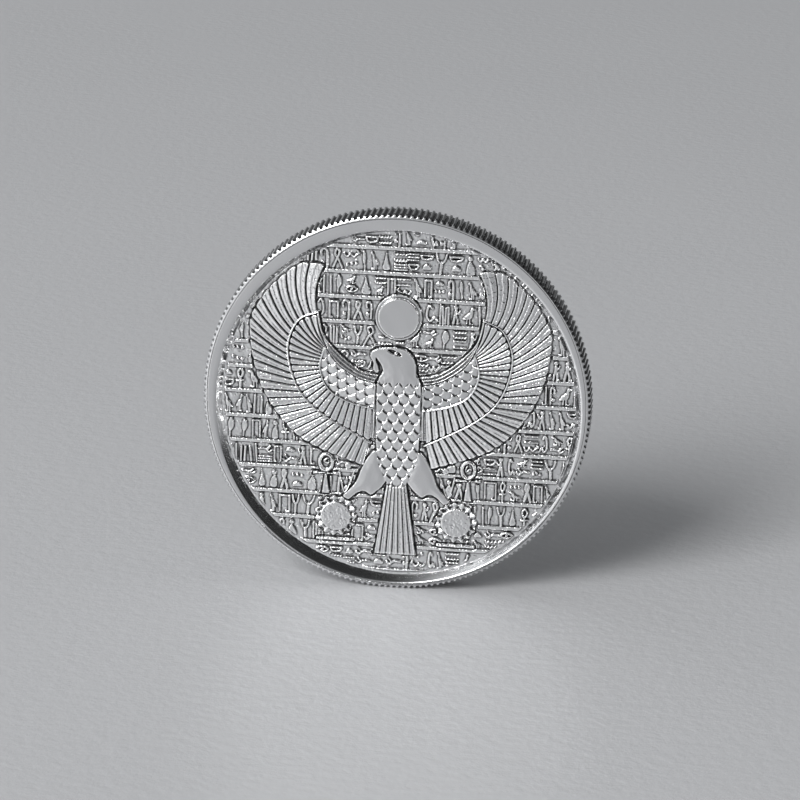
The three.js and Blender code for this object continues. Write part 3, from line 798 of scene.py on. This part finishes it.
def petal_places(angle, radius, inner, outer, half):
    """Depth inside a long pointed petal along angle 0, distance off its keel and share of its length."""
    share = np.clip((radius - inner) / (outer - inner), 0, 1)
    width = half * np.sin(math.pi * share ** 0.72) ** 0.8
    across = radius * np.sin(angle)
    depth = np.where((radius > inner) & (radius < outer), width - np.abs(across), -1)
    return depth, across, share


def draw_lotus(relief, radius, angle):
    """Two staggered rows of pointed petals round a fluted collar."""
    pitch = 2 * math.pi / LOTUS["petals"]
    lotus = np.zeros(radius.shape, bool)
    for turn, outer, top in PETAL_ROWS:
        folded = (angle - math.pi / 2 - turn * pitch + pitch / 2) % pitch - pitch / 2
        depth, across, share = petal_places(folded, radius, LOTUS["inner"] + 0.6, outer, LOTUS["half"])
        veins = 0.035 * np.cos(across / (0.12 + 0.5 * share) * 4.2) * swell(depth, 0.5)
        keel = 0.13 * np.exp(-(across / 0.16) ** 2) * swell(depth, 0.3)
        body = top * swell(depth, 0.22) + 0.06 * swell(depth, 0.9) + veins + keel
        body *= 1 - 0.25 * (1 - share) ** 2
        relief.height = np.where(depth > 0, body, relief.height)
        lotus |= depth > -0.06
    beyond = radius - LOTUS["inner"]
    collar = (beyond > -COLLAR["inside"]) & (beyond < COLLAR["outside"])
    dome = np.clip(1 - ((beyond - COLLAR["middle"]) / COLLAR["half"]) ** 2, 0, 1)
    flutes = 0.72 + 0.28 * np.abs(np.cos(angle * LOTUS["petals"] * 1.5))
    relief.lift(EVERYWHERE, COLLAR["top"] * np.sqrt(dome) * flutes, collar)
    relief.claim("reverse_lotus", EVERYWHERE, lotus | collar)


def draw_reverse_sun(relief, radius, angle):
    raised_disc(relief, "reverse_sun_disk", 0, 0, REVERSE_SUN)
    disc = REVERSE_SUN["disc"]
    within = swell(disc - 0.25 - radius, 0.4) * swell(radius - 0.9, 0.3)
    rays = 0.03 * np.cos(angle * REVERSE_SUN["rays"]) * within
    relief.height += np.where(radius < disc, rays, 0)
    relief.height += 0.05 * swell(0.7 - radius, 0.25)


def draw_border(relief, radius, angle):
    """A band of waves between two rings, and a ring of beads."""
    for edge in (WAVE_BAND["inner"], WAVE_BAND["outer"]):
        relief.lift(EVERYWHERE, BAND_TOP * swell(0.17 - np.abs(radius - edge), 0.12))
    middle = (WAVE_BAND["inner"] + WAVE_BAND["outer"]) / 2
    for place in (-1, 0, 1):
        swing = WAVE_BAND["swing"] * np.sin(angle * WAVE_BAND["waves"])
        crest = middle + place * WAVE_BAND["spacing"] + swing
        relief.lift(EVERYWHERE, WAVE_TOP * swell(0.13 - np.abs(radius - crest), 0.1))
    step = 2 * math.pi / BEADS["count"]
    turn = (angle + step / 2) % step - step / 2
    distance = np.hypot(radius * np.cos(turn) - BEADS["radius"], radius * np.sin(turn))
    relief.lift(EVERYWHERE, BEADS["top"] * np.sqrt(np.clip(1 - (distance / BEADS["size"]) ** 2, 0, 1)))


def reverse_relief():
    relief = Relief(REVERSE_STEP)
    polar = np.hypot(relief.x, relief.y), np.arctan2(relief.y, relief.x)
    draw_lotus(relief, *polar)
    draw_reverse_sun(relief, *polar)
    draw_border(relief, *polar)
    hand_cut(relief, *REVERSE_HAND)
    return relief


# ======== meshes ========

def face_frame(side, die):
    """Turns relief places into the coin's frame; side is -1 for the obverse, which faces -Y."""
    right = -side

    def place(x, y, height):
        return np.stack([
            (right * x + die.x) * MM,
            np.broadcast_to(side * height * MM, np.shape(x)),
            (y + die.z) * MM,
        ], axis=-1)

    def direct(nx, ny, nz):
        return np.stack([right * nx, side * nz, ny], axis=-1)

    return place, direct


def mesh_object(name, vertices, faces, uv, painted_shade, normals=None):
    mesh = bpy.data.meshes.new(name)
    mesh.from_pydata(vertices.tolist(), [], faces)
    mesh.polygons.foreach_set("use_smooth", np.ones(len(mesh.polygons), bool))
    layer = mesh.uv_layers.new(name="OFBake")
    layer.data.foreach_set("uv", np.ascontiguousarray(uv, dtype=np.float32).ravel())
    # the amount of painted shade at each vertex, read by the silver's colour
    shadow = mesh.attributes.new("painted_shade", "FLOAT", "POINT")
    shadow.data.foreach_set("value", np.asarray(painted_shade, np.float32).ravel())
    mesh.update()
    if normals is not None:
        mesh.normals_split_custom_set_from_vertices(normals.tolist())
    piece = bpy.data.objects.new(name, mesh)
    bpy.context.scene.collection.objects.link(piece)
    return piece


def boundary_edges(cells):
    """Directed grid edges around the cells, with the cells on their left, as corner pairs."""
    padded = np.pad(cells, 1)
    inner = padded[1:-1, 1:-1]
    edges = []
    for neighbour, start, end in (
        (padded[:-2, 1:-1], (0, 0), (0, 1)),
        (padded[1:-1, 2:], (0, 1), (1, 1)),
        (padded[2:, 1:-1], (1, 1), (1, 0)),
        (padded[1:-1, :-2], (1, 0), (0, 0)),
    ):
        rows, columns = np.nonzero(inner & ~neighbour)
        corners = [rows + start[0], columns + start[1], rows + end[0], columns + end[1]]
        edges.append(np.stack(corners, axis=1))
    return np.vstack(edges)


def relief_piece(name, relief, cells, side, die, shading):
    """A closed piece: the relief on top of these cells, walls around them and a flat back."""
    place, direct = face_frame(side, die)
    size = relief.x.shape[0]
    rows, columns = np.nonzero(cells)
    corners = np.stack([
        rows * size + columns, rows * size + columns + 1,
        (rows + 1) * size + columns + 1, (rows + 1) * size + columns,
    ], axis=1)
    edges = boundary_edges(cells)
    starts = edges[:, 0] * size + edges[:, 1]
    ends = edges[:, 2] * size + edges[:, 3]
    used = np.unique(corners)
    rim = np.unique(np.concatenate([starts, ends]))
    x, y = relief.x.ravel(), relief.y.ravel()
    top = place(x[used], y[used], FIELD + relief.height.ravel()[used])
    bottom = place(x[rim], y[rim], np.full(len(rim), PLATE_BACK))
    slope = [part.ravel()[used] for part in shading["normal"]]
    normals = np.vstack([direct(*slope), np.tile((0, -side, 0), (len(rim), 1))])

    top_index = np.searchsorted(used, corners)
    walls = np.stack([
        np.searchsorted(used, ends), np.searchsorted(used, starts),
        np.searchsorted(rim, starts) + len(used), np.searchsorted(rim, ends) + len(used),
    ], axis=1)
    plane = [Vector((x[k], y[k])) for k in rim]
    links = np.stack([np.searchsorted(rim, starts), np.searchsorted(rim, ends)], axis=1).tolist()
    flat, _, triangles, _, _, _ = delaunay_2d_cdt(plane, links, [], 0, 1e-9)
    if len(flat) != len(rim):
        raise RuntimeError(name + ": the back's corners changed in number")
    triangles = np.array(triangles)
    flat = np.array(flat)
    middle = flat[triangles].mean(axis=1)
    cell = np.floor((middle - relief.axis[0]) / relief.step).astype(int)
    inside = cells[np.clip(cell[:, 1], 0, size - 2), np.clip(cell[:, 0], 0, size - 2)]
    back = triangles[inside]
    turn = flat[back]
    area = np.cross(turn[:, 1] - turn[:, 0], turn[:, 2] - turn[:, 0])
    back = np.where((area > 0)[:, None], back[:, ::-1], back)
    column, row = np.round((flat - relief.axis[0]) / relief.step).astype(int).T
    back = np.searchsorted(rim, row * size + column)[back] + len(used)

    # The relief fills the texture square; the hidden walls and back share a thin strip below it.
    low = np.array([x[used].min(), y[used].min()])
    span = max(np.ptp(x[used]), np.ptp(y[used]))
    spot = np.vstack([np.stack([x[used], y[used]], 1), np.stack([x[rim], y[rim]], 1)])
    spot = (spot - low) / span
    uv = np.vstack([
        spot[corner.ravel()] * (UV_SPAN, tall) + (UV_MARGIN, at)
        for corner, tall, at in (
            (top_index, UV_SPAN, UV_TOP_AT), (walls, UV_STRIP, UV_WALLS_AT), (back, UV_STRIP, UV_BACK_AT),
        )
    ])
    faces = top_index.tolist() + walls.tolist() + back.tolist()
    painted_shade = np.concatenate([shading["painted_shade"].ravel()[used], np.zeros(len(rim))])
    return mesh_object(name, np.vstack([top, bottom]), faces, uv, painted_shade, normals)


def shade(relief):
    """Surface directions over the whole face, and how hollow each spot is: 0.5 is level; the hollowness sets
    the painted shade.
    """
    down, across = np.gradient(relief.height, relief.step)
    length = np.sqrt(across ** 2 + down ** 2 + 1)
    around = blurred(relief.height, round(CAVITY_REACH / relief.step))
    return {
        "normal": (-across / length, -down / length, 1 / length),
        "painted_shade": np.clip((around - relief.height) / CAVITY_DEPTH + 0.5, 0, 1),
    }


def ring_mesh(name, profile, painted_shade):
    """A closed ring from loops of places: profile is rows x angles x 3, in metres."""
    rows, count, _ = profile.shape
    index = np.arange(rows * count).reshape(rows, count)
    following = np.roll(index, -1, axis=1)
    upper = np.roll(index, -1, axis=0)
    upper_following = np.roll(following, -1, axis=0)
    quads = np.stack([index, following, upper_following, upper], axis=-1).reshape(-1, 4)

    # The ring is cut into bands that lie one above the other in the texture square.
    per_band = count // RING_BANDS
    across = np.repeat(np.arange(rows), count).reshape(rows, count)
    around = np.tile(np.arange(count), (rows, 1))
    band = np.minimum(around // per_band, RING_BANDS - 1)
    u = np.stack([around, around + 1, around + 1, around], -1) - (band * per_band)[..., None]
    v = np.stack([across, across, across + 1, across + 1], -1) / rows
    longest = count - per_band * (RING_BANDS - 1)
    v = (band[..., None] + UV_MARGIN + UV_SPAN * v) / RING_BANDS
    uv = np.stack([0.01 + 0.98 * u / longest, v], -1)
    return mesh_object(name, profile.reshape(-1, 3), quads.tolist(), uv, painted_shade)


def reed_fall(angles):
    """Flat-topped reeds with steep sides: 0 on a crest, 1 in the groove between two."""
    phase = ((angles + math.pi / 2) * REEDS / (2 * math.pi)) % 1.0
    from_crest = np.minimum(phase, 1 - phase) * 2
    return np.clip((from_crest - REED_CREST) / REED_WALL, 0, 1)


def reed_radius(angles):
    return RADIUS - REED_DEPTH * reed_fall(angles)


# Painted shade: the grooves between reeds are painted darker than the crests.
def reed_painted_shade(angles):
    return RIM_PAINTED_SHADE + (REED_PAINTED_SHADE - RIM_PAINTED_SHADE) * reed_fall(angles)


def reed_angles():
    """Sample angles that fall on every reed's corners, on its sides and in the groove."""
    crest = REED_CREST / 2
    foot = crest + REED_WALL / 2
    half = [crest * 0.85, crest * 1.04, foot * 0.97, foot * 1.1]
    stops = [0, *half, 0.5, *(1 - stop for stop in reversed(half))]
    pitch = 2 * math.pi / REEDS
    places = [reed + stop for reed in range(REEDS) for stop in stops]
    return np.array([-math.pi / 2 + place * pitch for place in places])


def chamfer_radius(drop):
    """The rounded outer edge between the rim's face and the reeds, this far below the face."""
    return RADIUS - CHAMFER_RUN * (1 - drop / CHAMFER) ** CHAMFER_ROUNDNESS


def rim_piece(name, side, die, shift):
    """The rim from its wall's hidden foot, over the flat, out to the reeds and back inside."""
    angles = reed_angles()
    place, _ = face_frame(side, CENTRE)
    die_off = np.array([-side * (die.x - CENTRE.x), die.z - CENTRE.z])
    edge_off = die_off + np.array(shift)
    cos, sin = np.cos(angles), np.sin(angles)
    reeds = reed_radius(angles)
    reed_shade = reed_painted_shade(angles)
    hidden = RADIUS - EDGE_WALL
    loops = []
    painted_shades = []

    def loop(radius, height, painted_shade, off=(0, 0)):
        """One loop round a centre that lies this far off the coin's."""
        radius = np.broadcast_to(radius, angles.shape)
        loops.append(place(radius * cos + off[0], radius * sin + off[1], np.full(len(angles), height)))
        painted_shades.append(np.broadcast_to(painted_shade, angles.shape))

    # The wall's painted shade is darkest at its foot and fades towards the top.
    for inside, height in ((0.12, PLATE_BACK), (0.12, FIELD - 0.06), (0.03, FIELD - 0.01)):
        loop(WALL_FOOT - inside, height, WALL_PAINTED_SHADE, die_off)
    for share in np.arange(1, WALL_LOOPS) / WALL_LOOPS:
        radius = WALL_FOOT + (RIM_INNER_RADIUS - WALL_TOP["inside"] - WALL_FOOT) * share
        height = FIELD + (RELIEF_DEPTH - WALL_TOP["drop"]) * share
        painted_shade = WALL_PAINTED_SHADE + (RIM_PAINTED_SHADE - WALL_PAINTED_SHADE) * share
        loop(radius, height, painted_shade, die_off + np.array(shift) * share)
    for outside, drop in RIM_ROUNDING:
        loop(RIM_INNER_RADIUS + outside, FACE - drop, RIM_PAINTED_SHADE, edge_off)
    burr, half = BURR["radius"], BURR["width"] / 2
    # The burr's groove is painted darker, as painted shade.
    for inside, drop, painted_shade in (
        (3 * half, 0, RIM_PAINTED_SHADE), (2 * half, 0, RIM_PAINTED_SHADE),
        (half, BURR["depth"], BURR["painted_shade"]), (-half, BURR["depth"], BURR["painted_shade"]),
    ):
        loop(burr - inside, FACE - drop, painted_shade)
    # Where the reeds cut the chamfer, it takes the reeds' painted shade.
    for drop in CHAMFER_DROPS:
        outer = chamfer_radius(drop)
        loop(np.minimum(reeds, outer), FACE - drop, np.where(reeds < outer, reed_shade, RIM_PAINTED_SHADE))
    loop(hidden, FACE - CHAMFER, RIM_PAINTED_SHADE)
    loop(hidden, PLATE_BACK, RIM_PAINTED_SHADE)
    profile = np.stack(loops)
    if side > 0:
        profile = profile[:, ::-1]
    return ring_mesh(name, profile[::-1], painted_shades[::-1])


def edge_piece():
    """The reeded band between the two rims."""
    angles = reed_angles()
    half = FACE - CHAMFER
    inside = np.full(len(angles), RADIUS - EDGE_WALL)
    levels = np.linspace(-half, half, EDGE_LEVELS)
    loops = [inside] + [reed_radius(angles)] * len(levels) + [inside]
    place, _ = face_frame(-1, CENTRE)
    rows = [
        place(radius * np.cos(angles), radius * np.sin(angles), np.full(len(angles), height))
        for radius, height in zip(loops, [-half, *levels, half])
    ]
    return ring_mesh("reeded_band", np.stack(rows), [reed_painted_shade(angles)] * len(rows))


# ======== materials ========

def new_material(name):
    material = bpy.data.materials.new(name)
    material.use_nodes = True
    tree = material.node_tree
    shader = tree.nodes["Principled BSDF"]
    return material, tree, shader


def node(tree, kind, inputs=None, **settings):
    made = tree.nodes.new(kind)
    for key, value in settings.items():
        setattr(made, key, value)
    for key, value in (inputs or {}).items():
        if isinstance(value, bpy.types.NodeSocket):
            tree.links.new(value, made.inputs[key])
        else:
            made.inputs[key].default_value = value
    return made


def noise(tree, place, scale, detail, roughness=0.5):
    return node(tree, "ShaderNodeTexNoise", {
        "Vector": place, "Scale": scale, "Detail": detail, "Roughness": roughness}).outputs["Fac"]


def ramp(tree, value, low, high, start=0.0, end=1.0, **settings):
    """From start to end while the value goes from low to high."""
    ends = {"From Min": low, "From Max": high, "To Min": start, "To Max": end}
    return node(tree, "ShaderNodeMapRange", {"Value": value, **ends}, **settings).outputs[0]


def mix(tree, share, first, second):
    return node(tree, "ShaderNodeMix", {"Factor": share, 6: first, 7: second}, data_type="RGBA").outputs[2]


def bump(tree, height, strength, distance, under=None):
    inputs = {"Height": height, "Strength": strength, "Distance": distance}
    if under:
        inputs["Normal"] = under
    return node(tree, "ShaderNodeBump", inputs).outputs[0]


def silver(name, tone, rough, grain, scratch):
    """Struck silver: a satin skin with fine frost and stray scratches, rougher recesses darkened by painted
    shade, and lighter crests.
    """
    material, tree, shader = new_material(name)
    place = node(tree, "ShaderNodeTexCoord").outputs["Object"]
    cloud = noise(tree, place, 220.0, 4.0, 0.6)
    frost = noise(tree, place, 6000.0, 3.0, 0.65)
    squeezed = node(tree, "ShaderNodeMapping", {
        "Vector": place, "Rotation": (0, 0.62, 0), "Scale": (500.0, 500.0, 9000.0)}).outputs[0]
    hairs = noise(tree, squeezed, 1.0, 2.0)
    painted_shade = node(tree, "ShaderNodeAttribute", attribute_name="painted_shade").outputs["Fac"]
    # Painted shade: the hollower the spot, the darker and rougher the silver.
    shade_share = ramp(tree, painted_shade, RECESS_START, RECESS_FULL)
    crest_share = ramp(tree, painted_shade, CREST_START, CREST_FULL)
    patch = ramp(tree, cloud, 0.3, 0.7)

    skin = mix(tree, patch, (tone * 0.95, tone * 0.955, tone * 0.965, 1), (tone, tone, tone * 1.008, 1))
    # convex crests are coloured lighter
    crest = mix(tree, crest_share, skin, (CREST_TONE, CREST_TONE, CREST_TONE, 1))
    painted_shade_colour = tone * PAINTED_SHADE_TONE
    colour = mix(tree, shade_share, crest, (painted_shade_colour, painted_shade_colour, painted_shade_colour * 1.02, 1))
    tree.links.new(colour, shader.inputs["Base Color"])

    satin = ramp(tree, cloud, 0.25, 0.75, rough - 0.03, rough + 0.03)
    matt = node(tree, "ShaderNodeMath", {0: shade_share, 1: RECESS_ROUGHNESS, 2: satin}, operation="MULTIPLY_ADD")
    tree.links.new(matt.outputs[0], shader.inputs["Roughness"])

    fine = bump(tree, frost, grain, 0.00001)
    tree.links.new(bump(tree, hairs, scratch, 0.00001, fine), shader.inputs["Normal"])
    shader.inputs["Metallic"].default_value = 1.0
    return material


def floor_material():
    material, tree, shader = new_material("pale_floor")
    place = node(tree, "ShaderNodeTexCoord").outputs["Object"]
    cloud = noise(tree, place, 9.0, 5.0, 0.55)
    grain = noise(tree, place, 700.0, 4.0, 0.6)
    tint = mix(tree, cloud, FLOOR_DARK, FLOOR_PALE)
    tree.links.new(tint, shader.inputs["Base Color"])
    tree.links.new(bump(tree, grain, FLOOR_GRAIN, 0.0002), shader.inputs["Normal"])
    shader.inputs["Roughness"].default_value = FLOOR_ROUGHNESS
    shader.inputs["Specular IOR Level"].default_value = FLOOR_SPECULAR
    return material


# ======== the coin ========

def field_parts(x, y, upper_end, lower_start):
    """The open field's parts: above, between and below two levels, each left and right of the middle."""
    upper, lower = y > upper_end, y < lower_start
    for band, rows in (("upper_", upper), ("", ~upper & ~lower), ("lower_", lower)):
        for half, columns in (("left", x < 0), ("right", x >= 0)):
            if (rows & columns).any():
                yield band + half, rows & columns


def build_face(relief, side, die, prefix, levels):
    """Cuts a face's relief into one piece for each region, and the open field into parts."""
    shading = shade(relief)
    middle = relief.axis[:-1] + relief.step / 2
    cell_x, cell_y = np.meshgrid(middle, middle)
    coin = np.hypot(cell_x, cell_y) < FIELD_EDGE
    owner = relief.region[:-1, :-1]
    pieces = {prefix + "_field": [
        relief_piece(f"{prefix}_field_{part}", relief, coin & (owner == 0) & mask, side, die, shading)
        for part, mask in field_parts(cell_x, cell_y, *levels)
    ]}
    for number, name in enumerate(relief.names[1:], 1):
        cells = coin & (owner == number)
        pieces[name] = [relief_piece(name + "_struck", relief, cells, side, die, shading)]
    return pieces


materials = {name: silver(name, **look) for name, look in SILVERS.items()}


def finish_piece(piece, nodes, slot):
    piece.data.materials.append(materials[slot])
    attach(piece, "root")
    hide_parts(*nodes)


def slot_of(name):
    return "bright_silver" if name in BRIGHT_NODES else "frosted_silver"


field_levels = (UPPER_PART_END, LOWER_PART_START)
obverse = build_face(obverse_relief(), -1, OBVERSE_DIE, "obverse", field_levels)
reverse = build_face(reverse_relief(), 1, REVERSE_DIE, "reverse", (0, 0))
for name, pieces in {**obverse, **reverse}.items():
    for piece in pieces:
        finish_piece(piece, [name], slot_of(name))
obverse_rim = rim_piece("obverse_rim_struck", -1, OBVERSE_DIE, RIM_SHIFT)
reverse_rim = rim_piece("reverse_rim_struck", 1, REVERSE_DIE, (0, 0))
finish_piece(obverse_rim, ["obverse_rim"], "bright_silver")
finish_piece(reverse_rim, ["reverse_rim"], "bright_silver")
finish_piece(edge_piece(), ["reeded_edge"], "edge_silver")

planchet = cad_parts["planchet"]
planchet.data.materials.clear()
planchet.data.materials.append(materials["edge_silver"])


# ======== studio ========

VIEW = {"azimuth": 6.43, "elevation": 17.06, "roll": 1.43, "distance": 0.4, "lens": 179.5}
STUDIO_TINT = (0.96, 0.98, 1.0, 1)
BACKDROP = 0.4
SURROUND = 0.035
GLOWS = (
    {"toward": (-0.93, 0.0, 0.37), "start": 0.48, "full": 0.95, "strength": 0.9},
    {"toward": (-0.5, -0.8, 0.33), "start": 0.6, "full": 1.0, "strength": 0.4},
    {"toward": (-0.25, 0.96, -0.05), "start": 0.85, "full": 0.99, "strength": 0.3},
)
KEY = {"azimuth": 57, "elevation": 32, "distance": 2.4, "size": (1.0, 1.4), "power": 50}
FLOOR_REACH = 6.0
FLOOR_DARK, FLOOR_PALE = (0.645, 0.65, 0.665, 1), (0.705, 0.71, 0.725, 1)
FLOOR_ROUGHNESS = 0.4
FLOOR_SPECULAR = 0.65
FLOOR_GRAIN = 0.35
AIM = (0.23, -0.085)  # the view's middle, right of and below the coin's centre, in millimetres


def add_camera():
    azimuth, elevation, roll = (math.radians(VIEW[key]) for key in ("azimuth", "elevation", "roll"))
    level = math.cos(elevation)
    back = Vector((math.sin(azimuth) * level, -math.cos(azimuth) * level, math.sin(elevation)))
    across = Vector((0, 0, 1)).cross(back).normalized()
    rise = back.cross(across)
    right = across * math.cos(roll) + rise * math.sin(roll)
    up = rise * math.cos(roll) - across * math.sin(roll)
    centre = CENTRE * MM
    place = centre + back * VIEW["distance"]
    target = centre + (right * AIM[0] + up * AIM[1]) * MM
    back = (place - target).normalized()
    right = up.cross(back).normalized()
    up = back.cross(right)
    data = bpy.data.cameras.new("camera")
    data.sensor_width = 36
    data.lens = VIEW["lens"]
    data.clip_start = 0.01
    data.clip_end = 50
    camera = bpy.data.objects.new("camera", data)
    turn = Matrix((right, up, back)).transposed().to_4x4()
    camera.matrix_world = Matrix.Translation(place) @ turn
    bpy.context.scene.collection.objects.link(camera)
    bpy.context.scene.camera = camera


def add_softbox(name, azimuth, elevation, distance, size, power):
    """A softbox turned at the coin; its azimuth runs from the left, -X, to the front, -Y."""
    azimuth, elevation = math.radians(azimuth), math.radians(elevation)
    level = math.cos(elevation)
    back = Vector((-math.cos(azimuth) * level, -math.sin(azimuth) * level, math.sin(elevation)))
    data = bpy.data.lights.new(name, "AREA")
    data.shape = "RECTANGLE"
    data.size, data.size_y = size
    data.energy = power
    lamp = bpy.data.objects.new(name, data)
    turn = back.to_track_quat("Z", "Y").to_matrix().to_4x4()
    lamp.matrix_world = Matrix.Translation(CENTRE * MM + back * distance) @ turn
    bpy.context.scene.collection.objects.link(lamp)


def add_floor():
    mesh = bpy.data.meshes.new("floor")
    corners = [(-1, -1, 0), (1, -1, 0), (1, 1, 0), (-1, 1, 0)]
    mesh.from_pydata([Vector(corner) * FLOOR_REACH for corner in corners], [], [(0, 1, 2, 3)])
    floor = bpy.data.objects.new("floor", mesh)
    mesh.materials.append(floor_material())
    bpy.context.scene.collection.objects.link(floor)


def add_world():
    """Dark above and to the right, pale to the left, in front and low behind; a plain backdrop."""
    world = bpy.data.worlds.new("studio")
    bpy.context.scene.world = world
    world.use_nodes = True
    tree = world.node_tree
    tree.nodes.clear()
    direction = node(tree, "ShaderNodeTexCoord").outputs["Generated"]
    total = node(tree, "ShaderNodeValue")
    total.outputs[0].default_value = SURROUND
    for glow in GLOWS:
        sides = {0: direction, 1: glow["toward"]}
        toward = node(tree, "ShaderNodeVectorMath", sides, operation="DOT_PRODUCT").outputs["Value"]
        share = ramp(
            tree, toward, glow["start"], glow["full"], 0.0, glow["strength"], interpolation_type="SMOOTHSTEP")
        total = node(tree, "ShaderNodeMath", {0: total.outputs[0], 1: share}, operation="ADD")
    surround = node(tree, "ShaderNodeBackground", {"Strength": total.outputs[0], "Color": STUDIO_TINT})
    backdrop = node(tree, "ShaderNodeBackground", {"Strength": BACKDROP, "Color": STUDIO_TINT})
    seen = node(tree, "ShaderNodeLightPath").outputs["Is Camera Ray"]
    mixed = node(tree, "ShaderNodeMixShader", {0: seen, 1: surround.outputs[0], 2: backdrop.outputs[0]})
    node(tree, "ShaderNodeOutputWorld", {"Surface": mixed.outputs[0]})


add_camera()
add_floor()
add_world()
add_softbox("key", **KEY)
bpy.context.scene.view_settings.view_transform = "Standard"
